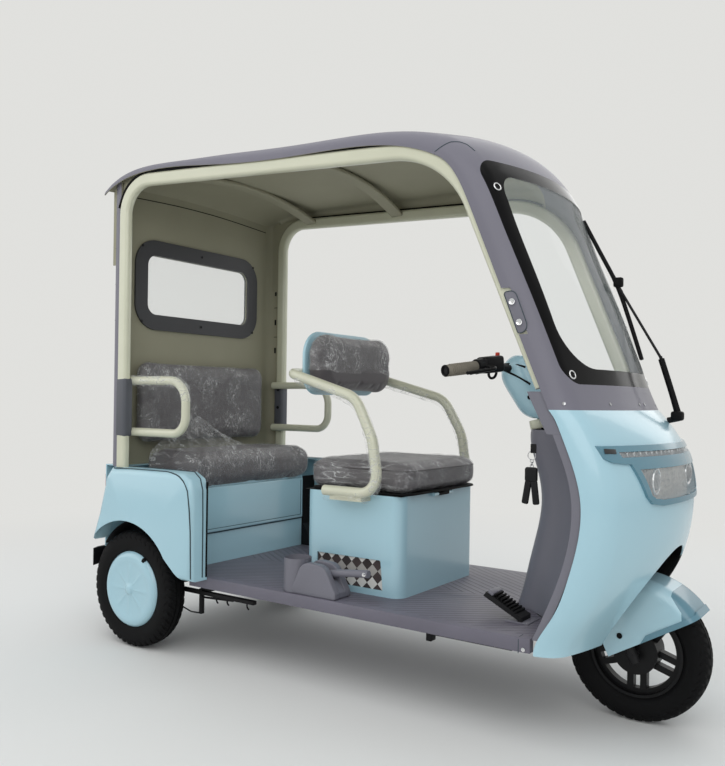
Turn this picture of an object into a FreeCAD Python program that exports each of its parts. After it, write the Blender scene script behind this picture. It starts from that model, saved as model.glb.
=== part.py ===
import FreeCAD, Part
import math
import os
import re

import Sketcher

# Three-wheeled electric auto rickshaw with a solar roof.
# Millimetres. +X forward, +Y to the driver's left, +Z up. The geometry is laid out from a datum
# on the ground under the rear axle; every piece is then moved back by origin_x, which puts the
# origin at the middle of the vehicle's length, on the ground.

V = FreeCAD.Vector
DOC = FreeCAD.newDocument("AutoRickshaw")
SHEET = DOC.addObject("Spreadsheet::Sheet", "Sizes")

# name, value, what it measures
SIZES = (
    ("wheelbase", 1647, "rear axle to front axle"),
    ("rear_overhang", 245, "rear axle to the back of the bumper"),
    ("rear_radius", 205, "rear tyre's outer radius"),
    ("rear_width", 82, "rear tyre's width"),
    ("rear_track", 786, "between the rear tyres' middles"),
    ("front_radius", 195, "front tyre's outer radius"),
    ("front_width", 80, "front tyre's width"),
    ("rim_radius", 128, "bead seat radius of all wheels"),
    ("rim_width", 60, "width of the rims"),
    ("rim_wall", 8, "thickness of the rims' barrel"),
    ("web_wall", 8, "thickness of a rear wheel's web"),
    ("drum_radius", 66, "rear brake drum's radius"),
    ("drum_depth", 46, "rear brake drum's depth inboard of the web"),
    ("cover_radius", 134, "wheel cover's radius"),
    ("cover_crown", 12, "how far the wheel cover is domed"),
    ("cover_wall", 3, "wheel cover's thickness"),
    ("front_hub_radius", 62, "front hub's radius"),
    ("front_hub_width", 74, "front hub's width"),
    ("spoke_count", 5, "pairs of spokes in the front wheel"),
    ("spoke_width", 18, "width of one spoke"),
    ("spoke_depth", 26, "depth of one spoke along the axle"),
    ("spoke_gap", 36, "between the two spokes of a pair, middle to middle"),
    ("rim_well", 14, "how far the front rim's well stands in"),
    ("front_axle_radius", 8, "front axle's radius"),
    ("running_fit", 0.05, "radial clearance of a hub on its axle"),
    ("seat_gap", 0.3, "clearance between pieces that rest on each other"),
    ("axle_tube_radius", 20, "rear axle tube's radius"),
    ("axle_tube_end", 335, "rear axle tube's half length"),
    ("gearbox_radius", 78, "final drive housing's radius"),
    ("gearbox_width", 110, "final drive housing's width"),
    ("motor_radius", 72, "drive motor's radius"),
    ("motor_length", 190, "drive motor's length"),
    ("rail_half", 175, "chassis rail's distance from the middle"),
    ("rail_width", 40, "chassis rail's width"),
    ("rail_depth", 40, "chassis rail's depth"),
    ("cross_width", 40, "chassis cross member's width"),
    ("cross_depth", 30, "chassis cross member's depth"),
    ("floor_half", 381, "floor's half width"),
    ("floor_bottom", 243, "height of the floor's lower edge"),
    ("floor_depth", 38, "depth of the floor's edge"),
    ("floor_skin", 10, "thickness of the floor panel"),
    ("floor_skirt", 24, "width of the floor's edge beam"),
    ("floor_rear", 241, "rear end of the floor at its sides"),
    ("floor_front", 1482, "front end of the floor"),
    ("shell_wall", 4, "thickness of the moulded body shells"),
    ("front_half", 392, "half width of the cowl and the windshield surround"),
    ("seam_height", 868, "height of the seam between cowl and windshield surround"),
    ("arch_half", 190, "half width of the front wheel's arch"),
    ("arch_height", 498, "height of the front wheel's arch"),
    ("shield_drop", 62, "leg shield's top below the seam"),
    ("shield_wall", 5, "leg shield's thickness"),
    ("shield_bulge", 46, "how far the leg shield bulges above its shelf"),
    ("column_room", 34, "radius of the hole in the leg shield's shelf"),
    ("shield_flange", 18, "width of the leg shield's flat flange"),
    ("shield_rim", 24, "how far the leg shield's rim stands rearwards"),
    ("dash_rim", 40, "how far the dash panel's rim stands rearwards"),
    ("bulge_share", 0.25, "share of the leg shield's curve that its bulge takes"),
    ("rake", 24.8, "steering axis leans back by this angle in degrees"),
    ("fork_half", 62, "fork leg's distance from the middle"),
    ("fork_leg_radius", 14, "fork leg's radius"),
    ("fork_height", 455, "height where the fork crown sits"),
    ("crown_depth", 26, "fork crown's thickness"),
    ("crown_length", 46, "fork crown's size fore and aft"),
    ("column_radius", 14, "steering column's radius"),
    ("head_radius", 24, "head tube's radius"),
    ("head_length", 120, "head tube's length"),
    ("down_radius", 18, "radius of the tube that carries the head tube"),
    ("bar_height", 985, "height where the steering axis meets the handlebar"),
    ("bar_radius", 11, "handlebar's radius"),
    ("bar_half", 320, "handlebar's half width"),
    ("grip_radius", 17, "grip's radius"),
    ("grip_length", 112, "grip's length"),
    ("fender_radius", 215, "front fender's outer radius"),
    ("fender_half", 86, "front fender's half width"),
    ("fender_edge", 38, "rounding of the front fender's edges"),
    ("fender_wall", 4, "front fender's thickness"),
    ("trim_wall", 3, "fender trim's thickness"),
    ("frame_depth", 45, "side frame tube's size in its plane"),
    ("frame_width", 30, "side frame tube's size across"),
    ("frame_round", 12, "rounding of the side frame tube"),
    ("frame_half", 429.5, "side frame's distance from the middle at the rear axle"),
    ("frame_taper", 0.0425, "side frames close in by this share of their length"),
    ("post_x", -53, "rear post's middle"),
    ("rail_height", 1649, "side frame's roof rail over the rear axle"),
    ("rail_drop", 0.055, "roof rail falls by this share of its length"),
    ("pillar_x", 1390, "windshield pillar's middle at the pillar datum"),
    ("pillar_datum", 1200, "height of the pillar datum"),
    ("pillar_lean", 0.42, "windshield pillar leans back by this share of its height"),
    ("pillar_rise", 60, "windshield pillar's foot above the seam"),
    ("rear_corner", 112, "side frame's rear corner radius, at the middle of the tube"),
    ("front_corner", 290, "side frame's front corner radius, at the middle of the tube"),
    ("bow_width", 54, "roof bow's width"),
    ("bow_depth", 16, "roof bow's depth"),
    ("panel_length", 860, "solar panel's length"),
    ("panel_width", 620, "solar panel's width"),
    ("panel_depth", 5, "solar panel's thickness"),
    ("panel_rear", 90, "rear end of the solar panel"),
    ("wall_x", -130, "rear wall's outer face"),
    ("wall_half", 436, "rear wall's half width"),
    ("wall_corner", 44, "rounding of the rear wall's corners"),
    ("wall_skin", 6, "rear wall's thickness"),
    ("window_low", 1199, "rear window's lower edge"),
    ("window_high", 1424, "rear window's upper edge"),
    ("window_half", 275, "rear window's half width"),
    ("window_border", 58, "width of the rear window's frame"),
    ("window_round", 40, "rounding of the rear window's corners"),
    ("glass_wall", 4, "thickness of the window panes"),
    ("wing_inner", 389, "rear fender's inner face"),
    ("wing_outer", 465, "rear fender's outer face"),
    ("wing_top", 634, "height of the rear fender's top"),
    ("wing_foot", 277, "height of the rear fender's front foot"),
    ("wing_front", 333, "rear fender's front face"),
    ("wing_rear", -200, "rear fender's rear face"),
    ("wing_tail", 330, "height of the rear fender's lower edge behind the wheel"),
    ("wing_round", 46, "rounding of the rear fender's edges"),
    ("wing_arch", 245, "radius of the rear fender's arch"),
    ("liner_wall", 3, "thickness of the rear wheel wells"),
    ("bench_front", 171, "rear seat box's front face"),
    ("bench_half", 310, "rear seat box's half width"),
    ("bench_top", 570, "height of the rear seat box"),
    ("box_wall", 5, "thickness of the seat boxes' walls"),
    ("bench_cushion_front", 236, "rear seat cushion's front"),
    ("bench_cushion_rear", -92, "rear seat cushion's rear"),
    ("bench_cushion_half", 352, "rear seat cushion's half width"),
    ("bench_cushion_depth", 118, "rear seat cushion's thickness"),
    ("backrest_top", 1036, "height of the rear backrest"),
    ("backrest_half", 356, "rear backrest's half width"),
    ("backrest_depth", 62, "rear backrest's thickness"),
    ("driver_rear", 630, "driver's seat box's rear face"),
    ("driver_front", 1003, "driver's seat box's front face"),
    ("driver_half", 242, "driver's seat box's half width"),
    ("driver_top", 592, "height of the driver's seat box"),
    ("driver_round", 40, "rounding of the driver's seat box's corners"),
    ("driver_cushion_half", 252, "driver's cushion's half width"),
    ("driver_cushion_rear", 618, "driver's cushion's rear"),
    ("driver_cushion_front", 1036, "driver's cushion's front"),
    ("driver_cushion_depth", 92, "driver's cushion's thickness"),
    ("lid_depth", 8, "seat base board's thickness"),
    ("hinge_reach", 8, "seat hinge's middle in front of the seat box"),
    ("hinge_drop", 6, "seat hinge's middle below the seat box's top"),
    ("hinge_radius", 6, "radius of the seat hinge's knuckles"),
    ("hinge_pin", 3, "radius of the seat hinge's pin"),
    ("hinge_half", 34, "half length of the board's knuckle"),
    ("hinge_end", 60, "half length of the whole seat hinge"),
    ("arm_radius", 16.5, "radius of the driver's arm tube"),
    ("arm_half", 288, "arm tube's distance from the middle beside the seat"),
    ("arm_rear_half", 254, "arm tube's distance from the middle at the backrest"),
    ("headrest_half", 234, "driver's backrest's half width"),
    ("headrest_low", 901, "height of the driver's backrest's lower edge"),
    ("headrest_high", 1117, "height of the driver's backrest's upper edge"),
    ("headrest_x", 588, "driver's backrest's rear face"),
    ("headrest_depth", 88, "driver's backrest's thickness"),
    ("headrest_shell", 12, "thickness of the driver's backrest's shell"),
    ("loop_radius", 15, "radius of the rear armrest tubes"),
    ("cup_radius", 38, "cup holder's inner radius"),
    ("cup_depth", 66, "cup holder's depth"),
    ("cup_wall", 5, "cup holder's wall"),
    ("bolt_radius", 4.2, "radius of the mirror and plate bolt holes"),
    ("bolt_depth", 14, "depth of the mirror bolt holes"),
    ("plate_spacing", 120, "between the plate holder's bolt holes"),
    ("lamp_proud", 7, "how far the headlamp stands out of the cowl"),
    ("lamp_depth", 34, "headlamp's depth behind the cowl's face"),
    ("battery_length", 300, "battery pack's length"),
    ("battery_width", 360, "battery pack's width"),
    ("battery_height", 220, "battery pack's height"),
)

# Sizes that follow from the ones above.
DERIVED = {
    "origin_x": "(wheelbase + front_radius - rear_overhang) / 2",
    "floor_top": "floor_bottom + floor_depth",
    "wheel_half": "rear_track / 2",
    "frame_outer": "frame_half + frame_width / 2",
    "shield_top": "seam_height - shield_drop",
    "pillar_foot": "seam_height + pillar_rise",
}


def link(text):
    """Turns size names in an expression into references to the sheet."""
    names = {row[0] for row in SIZES}

    def reference(match):
        word = match.group(0)
        if word in DERIVED:
            return "(" + link(DERIVED[word]) + ")"
        return "Sizes." + word if word in names else word

    return re.sub(r"[a-z_]\w*", reference, text)


for row, (alias, value, note) in enumerate(SIZES, start=1):
    SHEET.set("A%d" % row, str(value))
    SHEET.setAlias("A%d" % row, alias)
    SHEET.set("B%d" % row, note)
DOC.recompute()


def number(text):
    """Value of an expression over the sizes."""
    return float(SHEET.evalExpression(link(text)))


NODES = []


def bind(item, **expressions):
    """Binds properties of an object to expressions over the sizes."""
    for name, text in expressions.items():
        item.setExpression(name, link(str(text)))
    return item


PLACES = {}


def place(item, x="0", y="0", z="0"):
    """Binds an object's place."""
    PLACES[item.Name] = str(x)
    for axis, text in zip("xyz", (x, y, z)):
        item.setExpression("Placement.Base." + axis, link(str(text)))
    return item


def node(item, label):
    """Makes an object a piece of the vehicle, moved from the layout datum to the origin."""
    item.Label = label
    start = PLACES.get(item.Name, "0")
    item.setExpression("Placement.Base.x", link("(%s) - origin_x" % start))
    NODES.append(item)
    return item


def box(name, low, size):
    item = bind(DOC.addObject("Part::Box", name), Length=size[0], Width=size[1], Height=size[2])
    return place(item, *low)


def centred_box(name, x, z, size):
    """Box that is centred across the vehicle."""
    return box(name, (x, "-(%s) / 2" % size[1], z), size)


AXES = {
    "x": FreeCAD.Rotation(V(0, 1, 0), 90),
    "y": FreeCAD.Rotation(V(1, 0, 0), -90),
    "z": FreeCAD.Rotation(),
}


def cylinder(name, axis, start, radius, length):
    """Cylinder that runs from start along +X, +Y or +Z."""
    item = bind(DOC.addObject("Part::Cylinder", name), Radius=radius, Height=length)
    item.Placement.Rotation = AXES[axis]
    return place(item, *start)


def fuse(name, *items):
    item = DOC.addObject("Part::MultiFuse", name)
    item.Shapes = list(items)
    return item


def cut(name, base, *tools):
    item = DOC.addObject("Part::Cut", name)
    item.Base = base
    item.Tool = tools[0] if len(tools) == 1 else fuse(name + "_tools", *tools)
    return item


def shaped(name, shape):
    """A piece whose shape comes from Part's own functions."""
    item = DOC.addObject("Part::Feature", name)
    item.Shape = shape
    return item


def loft(sections, ruled=False):
    return Part.makeLoft(sections, True, ruled)


def prism(points, axis, low, high):
    """Straight prism over an outline in the plane across an axis, from low to high along it."""
    spots = {
        "x": lambda a, b: V(low, a, b),
        "y": lambda a, b: V(a, low, b),
        "z": lambda a, b: V(a, b, low),
    }[axis]
    corners = [spots(a, b) for a, b in points]
    along = {"x": V(high - low, 0, 0), "y": V(0, high - low, 0), "z": V(0, 0, high - low)}[axis]
    return Part.Face(Part.makePolygon(corners + corners[:1])).extrude(along)


# ---------------------------------------------------------------- arched shells
# A section of the cowl, the windshield surround and the roof is an arch across the vehicle:
# it leaves its two edges square to the chord, turns by small corner arcs and joins them with
# one large arc. Its plane holds the edge point, the middle point and the Y axis.


def arch_arcs(edge, middle, half, corner, inset):
    """Three arcs of an arch, moved inwards by inset."""
    rise = middle.sub(edge)
    depth = rise.Length
    up = rise.normalize()
    large = (depth ** 2 + (half - corner) ** 2 - corner ** 2) / (2 * (depth - corner))

    def spot(height, across):
        return edge + up * height + V(0, across, 0)

    centre_height = depth - large
    lean = math.atan2(half - corner, -centre_height)
    big = large - inset
    small = corner - inset

    def on_big(angle):
        return spot(centre_height + big * math.cos(angle), big * math.sin(angle))

    def on_corner(side, angle):
        return spot(small * math.cos(angle), side * (half - corner + small * math.sin(angle)))

    right = math.pi / 2
    mid = (lean + right) / 2
    return [
        Part.Arc(on_corner(-1, right), on_corner(-1, mid), on_big(-lean)).toShape(),
        Part.Arc(on_big(-lean), on_big(0), on_big(lean)).toShape(),
        Part.Arc(on_big(lean), on_corner(1, mid), on_corner(1, right)).toShape(),
    ]


def arch_ring(row, wall, proud=0):
    """Closed section of an arched shell of a given wall."""
    edge, middle, half, corner = row
    outer = arch_arcs(edge, middle, half, corner, -proud)
    inner = arch_arcs(edge, middle, half, corner, wall - proud)
    ends = (
        Part.LineSegment(outer[2].Vertexes[-1].Point, inner[2].Vertexes[-1].Point).toShape(),
        Part.LineSegment(inner[0].Vertexes[0].Point, outer[0].Vertexes[0].Point).toShape(),
    )
    return Part.Wire(outer + [ends[0]] + inner[::-1] + [ends[1]])


def arch_filled(row, inset, skirt):
    """Closed section of the space under an arched shell, carried on below its edges."""
    edge, middle, half, corner = row
    arcs = arch_arcs(edge, middle, half, corner, inset)
    down = edge.sub(middle).normalize() * skirt
    left, right = arcs[0].Vertexes[0].Point, arcs[2].Vertexes[-1].Point
    corners = (right, right + down, left + down, left)
    sides = [Part.LineSegment(a, b).toShape() for a, b in zip(corners, corners[1:])]
    return Part.Wire(arcs + sides)


CORNER_SHARE = 0.6


def arch_rows(table):
    """Rows of (edge point, middle point, half width, corner radius)."""
    rows = []
    for edge_x, edge_z, middle_x, middle_z, half in table:
        edge = V(edge_x, 0, edge_z)
        middle = V(middle_x, 0, middle_z)
        rows.append((edge, middle, half, CORNER_SHARE * middle.sub(edge).Length))
    return rows


wall = number("shell_wall")
seat_gap = number("seat_gap")
front_half = number("front_half")
floor_top = number("floor_top")


def frame_y(x):
    """Side frame tube's middle at x."""
    return number("frame_half") - number("frame_taper") * x


def roof_half(x):
    """Roof's half width: it closes over the outside of the side frames."""
    return frame_y(x) + number("frame_width") / 2 + number("seat_gap") + wall


def pillar_middle(height):
    return number("pillar_x") - number("pillar_lean") * (height - number("pillar_datum"))


# Surround, from the roof seam down to the cowl seam:
# height of the edge, set back of the edge from the pillar line, then the middle's x and z
SURROUND = (
    (1562, 0, 1190, 1694),
    (1516, 0, 1292, 1641),
    (1446, 0, 1376, 1562),
    (1340, 0, 1446, 1402),
    (1200, 0, 1536, 1200),
    (1043, 0, 1592, 1043),
    (868, 0, 1655, 868),
)

# Roof: x, height of the edge, height of the crown
ROOF = (
    (-146, 1612, 1648),
    (-104, 1636, 1682),
    (30, 1668, 1712),
    (400, 1647, 1716),
    (800, 1627, 1702),
    (1030, 1612, 1696),
    (1190, 1562, 1680),
)

# Cowl side edge and depth of the nose in front of it: share of the cowl's height, x of the edge, depth
COWL = (
    (1, 1527, 128),
    (0.915, 1558, 149),
    (0.778, 1592, 164),
    (0.642, 1613, 156),
    (0.501, 1610, 155),
    (0.334, 1585, 155),
    (0.16, 1542, 141),
    (0, 1496, 125),
)

# Leg shield's middle, which bulges rearwards over the wheel: share of its height, x
SHIELD = ((1, 1330), (0.846, 1339), (0.67, 1363), (0.541, 1364), (0.347, 1343), (0.145, 1318), (0, 1296))

seam = number("seam_height")
roof_table = [(x, edge, x, crown, roof_half(x)) for x, edge, crown in ROOF]
surround_table = []
for edge_z, set_back, middle_x, middle_z in SURROUND:
    edge_x = pillar_middle(edge_z) - 4 - set_back
    half = max(front_half, roof_half(pillar_middle(edge_z)))
    surround_table.append([edge_x, edge_z, middle_x, middle_z, half])
surround_table[0] = list(roof_table[-1])
surround_table[1][0] = 1244
surround_table[1][4] = front_half + 4
surround_table[-1] = [COWL[0][1], seam, COWL[0][1] + COWL[0][2], seam, front_half]


def cowl_height(share):
    foot = number("floor_bottom")
    return foot + share * (seam - foot)


cowl_table = [(x, cowl_height(share), x + depth, cowl_height(share), front_half) for share, x, depth in COWL]


def arched(name, table, shell, proud=0):
    rows = arch_rows(table)
    return loft([arch_ring(row, shell, proud) for row in rows])


def roof_shell():
    return shaped("RoofShell", arched("roof", roof_table, wall))


node(roof_shell(), "roof_shell")

# ---------------------------------------------------------------- windshield
# Heights of the two mirror bolts in each pillar
MIRROR_HEIGHTS = (seam + 223, seam + 285)
# Front-view outlines, as y and z of the right-hand half, from the middle of the lower edge up.
GLASS_LOW, GLASS_HIGH = seam + 66, 1545
GLASS_LOW_HALF, GLASS_HIGH_HALF = 360, 371


def rounded_outline(points, radii, x):
    """Closed wire in the plane x, with its corners rounded by arcs."""
    spots = [V(x, y, z) for y, z in points]
    edges = []
    starts = []
    for k, (spot, radius) in enumerate(zip(spots, radii)):
        before = spots[k - 1].sub(spot).normalize()
        after = spots[(k + 1) % len(spots)].sub(spot).normalize()
        half_angle = before.getAngle(after) / 2
        back = radius / math.tan(half_angle)
        a = spot + before * back
        b = spot + after * back
        centre = spot + (before + after).normalize() * (radius / math.sin(half_angle))
        tip = centre + spot.sub(centre).normalize() * radius
        starts.append((a, tip, b))
    for k, (a, tip, b) in enumerate(starts):
        edges.append(Part.Arc(a, tip, b).toShape())
        following = starts[(k + 1) % len(starts)][0]
        if b.distanceToPoint(following) > 1e-6:
            edges.append(Part.LineSegment(b, following).toShape())
    return Part.Wire(edges)


def glass_prism(margin):
    """Prism through the front that holds the windshield, larger by margin all round."""
    low, high = GLASS_LOW - margin, GLASS_HIGH + margin
    a, b = GLASS_LOW_HALF + margin, GLASS_HIGH_HALF + margin
    outline = rounded_outline([(-a, low), (a, low), (b, high), (-b, high)], [52 + margin] * 4, 1180)
    return Part.Face(outline).extrude(V(600, 0, 0))


surround = arched("surround", surround_table, wall)
glass = arched("glass", surround_table, wall).common(glass_prism(0))


def mirror_recess():
    """Notches that bare the mirror bolt holes of both pillars."""
    low, high = MIRROR_HEIGHTS[0] - 30, MIRROR_HEIGHTS[1] + 30
    outline = [(pillar_middle(z) + dx, z) for z, dx in ((low, -40), (low, 20), (high, 20), (high, -40))]
    return prism(outline, "y", -500, -300).fuse(prism(outline, "y", 300, 500))


node(shaped("WindshieldGlass", glass), "windshield_glass")

# ---------------------------------------------------------------- cowl and headlamp
wheel_x = number("wheelbase")


def wheel_arch():
    radius = number("arch_half")
    centre = number("arch_height") - radius
    tunnel = Part.makeCylinder(radius, 700, V(wheel_x - 300, 0, centre), V(1, 0, 0))
    throat = Part.makeBox(700, 2 * radius, centre - 100, V(wheel_x - 300, -radius, 100))
    return tunnel.fuse(throat)


# Half outline of the headlamp seen from the front: y, z
LAMP = ((366, 781), (360, 749), (346, 741), (288, 735), (250, 652), (228, 633), (180, 626))
LAMP_LENS = ((262, 722), (232, 655), (214, 646), (176, 641))
LAMP_STRIP = ((318, 766), (312, 752))


def mirrored(points):
    return [(-y, z) for y, z in points] + [(y, z) for y, z in reversed(points)]


lamp_outline = prism(mirrored(LAMP), "x", 1560, 1860)
lens_outline = prism(mirrored(LAMP_LENS), "x", 1560, 1860)
strip_outline = prism(mirrored(LAMP_STRIP), "x", 1560, 1860)
cowl_shell = arched("cowl", cowl_table, wall)
cowl = cowl_shell.cut(wheel_arch()).cut(lamp_outline)
node(shaped("FrontCowl", cowl), "front_cowl")

proud = number("lamp_proud")
lamp_wall = proud + number("lamp_depth")
lamp_block = arched("lamp", cowl_table, lamp_wall, proud).common(lamp_outline)
lens_sheet = arched("lens", cowl_table, 3, proud - 2)
lenses = lens_sheet.common(lens_outline.fuse(strip_outline))
hollow = arched("hollow", cowl_table, lamp_wall, proud + 6).common(lens_outline.fuse(strip_outline))
node(shaped("HeadlampHousing", lamp_block.cut(hollow)), "headlamp_housing")
node(shaped("HeadlampLens", lenses), "headlamp_lens")

# ---------------------------------------------------------------- leg shield


def interpolate(table, height):
    rows = sorted(table)
    for (z0, x0), (z1, x1) in zip(rows, rows[1:]):
        if z0 <= height <= z1:
            return x0 + (x1 - x0) * (height - z0) / (z1 - z0)
    return rows[0][1] if height < rows[0][0] else rows[-1][1]


COWL_EDGE = tuple((cowl_height(share), x) for share, x, depth in COWL)
COWL_EDGE += ((number("pillar_foot"), pillar_middle(number("pillar_foot")) - 4),)
shield_half = front_half - wall - 2 * seat_gap


def ogee_curve(height, middle_x, shift):
    """Edges of one face of the leg shield: flat flanges, then an S-curve each side to the bulge."""
    run = shield_half - number("shield_flange")
    edge_x = interpolate(COWL_EDGE, height)
    deep = edge_x - middle_x
    both = (deep ** 2 + run ** 2) / (2 * deep)
    bulge_radius = both * number("bulge_share")
    radius = both - bulge_radius
    turn = 2 * math.atan2(deep, run)
    start = V(edge_x - shift, run, height)
    hollow = V(edge_x - radius, run, height)
    bulge = V(middle_x + bulge_radius, 0, height)
    small = radius - shift
    halfway = hollow + V(math.cos(turn / 2), -math.sin(turn / 2), 0) * small
    meet = hollow + V(math.cos(turn), -math.sin(turn), 0) * small
    crown = bulge - V(bulge_radius + shift, 0, 0)
    tip = V(start.x, shield_half - shift, height)
    left = [tip, start, halfway, meet]
    right = [V(p.x, -p.y, p.z) for p in left]
    return [
        Part.LineSegment(left[0], left[1]).toShape(),
        Part.Arc(*left[1:]).toShape(),
        Part.Arc(left[3], crown, right[3]).toShape(),
        Part.Arc(right[3], right[2], right[1]).toShape(),
        Part.LineSegment(right[1], right[0]).toShape(),
    ]


def ogee_ring(height, middle_x, shell, rim):
    """Closed section of the leg shield's wall, with a rim that stands rearwards at each side."""
    back = ogee_curve(height, middle_x, shell)
    face = ogee_curve(height, middle_x, 0)
    ends = []
    for a, b, side in ((back[-1].Vertexes[-1].Point, face[-1].Vertexes[-1].Point, -1),
                       (back[0].Vertexes[0].Point, face[0].Vertexes[0].Point, 1)):
        rear = b.x - rim
        corners = [a, V(rear, side * (shield_half - shell), height), V(rear, side * shield_half, height), b]
        ends.append([Part.LineSegment(p, q).toShape() for p, q in zip(corners, corners[1:])])
    return Part.Wire(back + ends[0] + face[::-1] + ends[1][::-1])


def shield_shelf(height, thickness):
    """Level plate that closes the leg shield's top, with room for the column."""
    curves = ogee_curve(height, SHIELD[0][1], thickness / 2)[1:-1]
    closing = Part.LineSegment(curves[-1].Vertexes[-1].Point, curves[0].Vertexes[0].Point).toShape()
    plate = Part.Face(Part.Wire(curves + [closing])).extrude(V(0, 0, -thickness))
    return plate.cut(Part.makeCylinder(number("column_room"), 200, V(on_axis(height).x, 0, height - 100)))


rake = math.radians(number("rake"))
front_radius = number("front_radius")
lean = V(-math.sin(rake), 0, math.cos(rake))
hub = V(number("wheelbase"), 0, front_radius)


def on_axis(height):
    """Point of the steering axis at a height."""
    return hub + lean * ((height - front_radius) / lean.z)


shield_top = number("shield_top")
shield_wall = number("shield_wall")


def leg_shield():
    """Wall that bulges over the front wheel, closed by a shelf a little below its top."""
    low = floor_top + seat_gap
    rows = [(low + share * (shield_top - low), x) for share, x in SHIELD]
    wall_loft = loft([ogee_ring(z, x, shield_wall, number("shield_rim")) for z, x in reversed(rows)])
    return wall_loft.fuse(shield_shelf(shield_top - shield_wall / 2, shield_wall))


def dash_panel():
    """Shallower wall over the leg shield, up to the pillars' feet."""
    bulge = number("shield_bulge")
    levels = (shield_top + seat_gap, (shield_top + seam) / 2, number("pillar_foot") - 14)
    rim = number("dash_rim")
    return loft([ogee_ring(z, interpolate(COWL_EDGE, z) - bulge, shield_wall, rim) for z in levels])


node(shaped("LegShield", leg_shield()), "leg_shield")
node(shaped("DashPanel", dash_panel()), "dash_panel")

# ---------------------------------------------------------------- side frames and roof


def rounded_path(points, radii):
    """Open wire of straight runs joined by tangent arcs."""
    edges = []
    start = points[0]
    for before, spot, after, radius in zip(points, points[1:], points[2:], radii):
        back = before.sub(spot).normalize()
        ahead = after.sub(spot).normalize()
        half_angle = back.getAngle(ahead) / 2
        reach = radius / math.tan(half_angle)
        a = spot + back * reach
        b = spot + ahead * reach
        centre = spot + (back + ahead).normalize() * (radius / math.sin(half_angle))
        tip = centre + spot.sub(centre).normalize() * radius
        if start.distanceToPoint(a) > 1e-6:
            edges.append(Part.LineSegment(start, a).toShape())
        edges.append(Part.Arc(a, tip, b).toShape())
        start = b
    edges.append(Part.LineSegment(start, points[-1]).toShape())
    return Part.Wire(edges)


def tube(points, radii, radius):
    """Round bar along a path of straight runs and arcs."""
    path = rounded_path(points, radii)
    first = points[1].sub(points[0])
    ring = Part.Wire([Part.Circle(points[0], first, radius).toShape()])
    return path.makePipeShell([ring], True, False)


def bar(a, b, radius):
    return Part.makeCylinder(radius, b.sub(a).Length, a, b.sub(a))


def rounded_rectangle(centre, u, v, width, depth, corner):
    """Closed wire of a rounded rectangle, width along u and depth along v."""
    a, b = width / 2, depth / 2
    corners = ((a, b), (-a, b), (-a, -b), (a, -b))
    spots = [centre + u * p + v * q for p, q in corners]
    edges = []
    ends = []
    for k, spot in enumerate(spots):
        back = spots[k - 1].sub(spot).normalize()
        ahead = spots[(k + 1) % 4].sub(spot).normalize()
        inner = spot + (back + ahead) * corner
        tip = inner + spot.sub(inner).normalize() * corner
        ends.append((spot + back * corner, tip, spot + ahead * corner))
    for k, (p, tip, q) in enumerate(ends):
        edges.append(Part.Arc(p, tip, q).toShape())
        edges.append(Part.LineSegment(q, ends[(k + 1) % 4][0]).toShape())
    return Part.Wire(edges)


post_x = number("post_x")
frame_width = number("frame_width")
frame_depth = number("frame_depth")


def frame_path(side):
    """Middle line of a side frame, from the rear post's foot to the windshield pillar's foot."""
    drop = number("rail_drop")
    lean = number("pillar_lean")
    rail = number("rail_height")
    datum = number("pillar_datum")
    meet_x = (number("pillar_x") - lean * (rail - datum)) / (1 - lean * drop)
    foot = number("pillar_foot")
    spots = (
        (post_x, number("wing_top")),
        (post_x, rail - drop * post_x),
        (meet_x, rail - drop * meet_x),
        (pillar_middle(foot), foot),
    )
    points = [V(x, side * frame_y(x), z) for x, z in spots]
    return points, (number("rear_corner"), number("front_corner"))


def frame_tube(side, margin):
    """Tube of a side frame, thicker by margin all round."""
    points, radii = frame_path(side)
    along = V(1, -side * number("frame_taper"), 0).normalize()
    across = V(0, 0, 1).cross(along)
    sizes = (frame_depth + 2 * margin, frame_width + 2 * margin, number("frame_round") + margin)
    section = rounded_rectangle(points[0], along, across, *sizes)
    return rounded_path(points, radii).makePipeShell([section], True, False)


# Places along each straight and each bend of a side frame where its tube is divided
STRAIGHT_CUTS = (0.5,)
BEND_CUTS = (0, 0.25, 0.5, 0.75, 1)


def divided(bar, side):
    """Side frame as short lengths of tube, end to end."""
    points, radii = frame_path(side)
    discs = []
    for edge in rounded_path(points, radii).Edges:
        low, high = edge.ParameterRange
        cuts = STRAIGHT_CUTS if isinstance(edge.Curve, Part.Line) else BEND_CUTS
        for share in cuts:
            spot = low + share * (high - low)
            rim = Part.makeCircle(2 * frame_width, edge.valueAt(spot), edge.tangentAt(spot))
            discs.append(Part.Face(Part.Wire(rim)))
    return Part.makeCompound(bar.generalFuse(discs)[0].Solids)


def side_frame(side):
    """Bent tube with the mirror's bolt holes in its pillar."""
    bar = frame_tube(side, 0)
    for height in MIRROR_HEIGHTS:
        spot = V(pillar_middle(height), side * (frame_y(pillar_middle(height)) + frame_width), height)
        bore = Part.makeCylinder(
            number("bolt_radius"), frame_width / 2 + number("bolt_depth"), spot, V(0, -side, 0)
        )
        bar = bar.cut(bore)
    return divided(bar, side)


SIDES = (("left", 1), ("right", -1))
for side_name, side in SIDES:
    node(shaped("SideFrame_" + side_name, side_frame(side)), "side_frame_" + side_name)
    surround = surround.cut(frame_tube(side, seat_gap))
surround = surround.cut(glass_prism(0)).cut(mirror_recess())
node(shaped("WindshieldSurround", surround), "windshield_surround")


def under_roof(gap):
    """Space below the roof's skin, down to well under its edges."""
    return loft([arch_filled(row, wall + gap, 1100) for row in arch_rows(roof_table)])


# Middles of the cross bows along the roof
BOWS = (121, 568)


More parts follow.
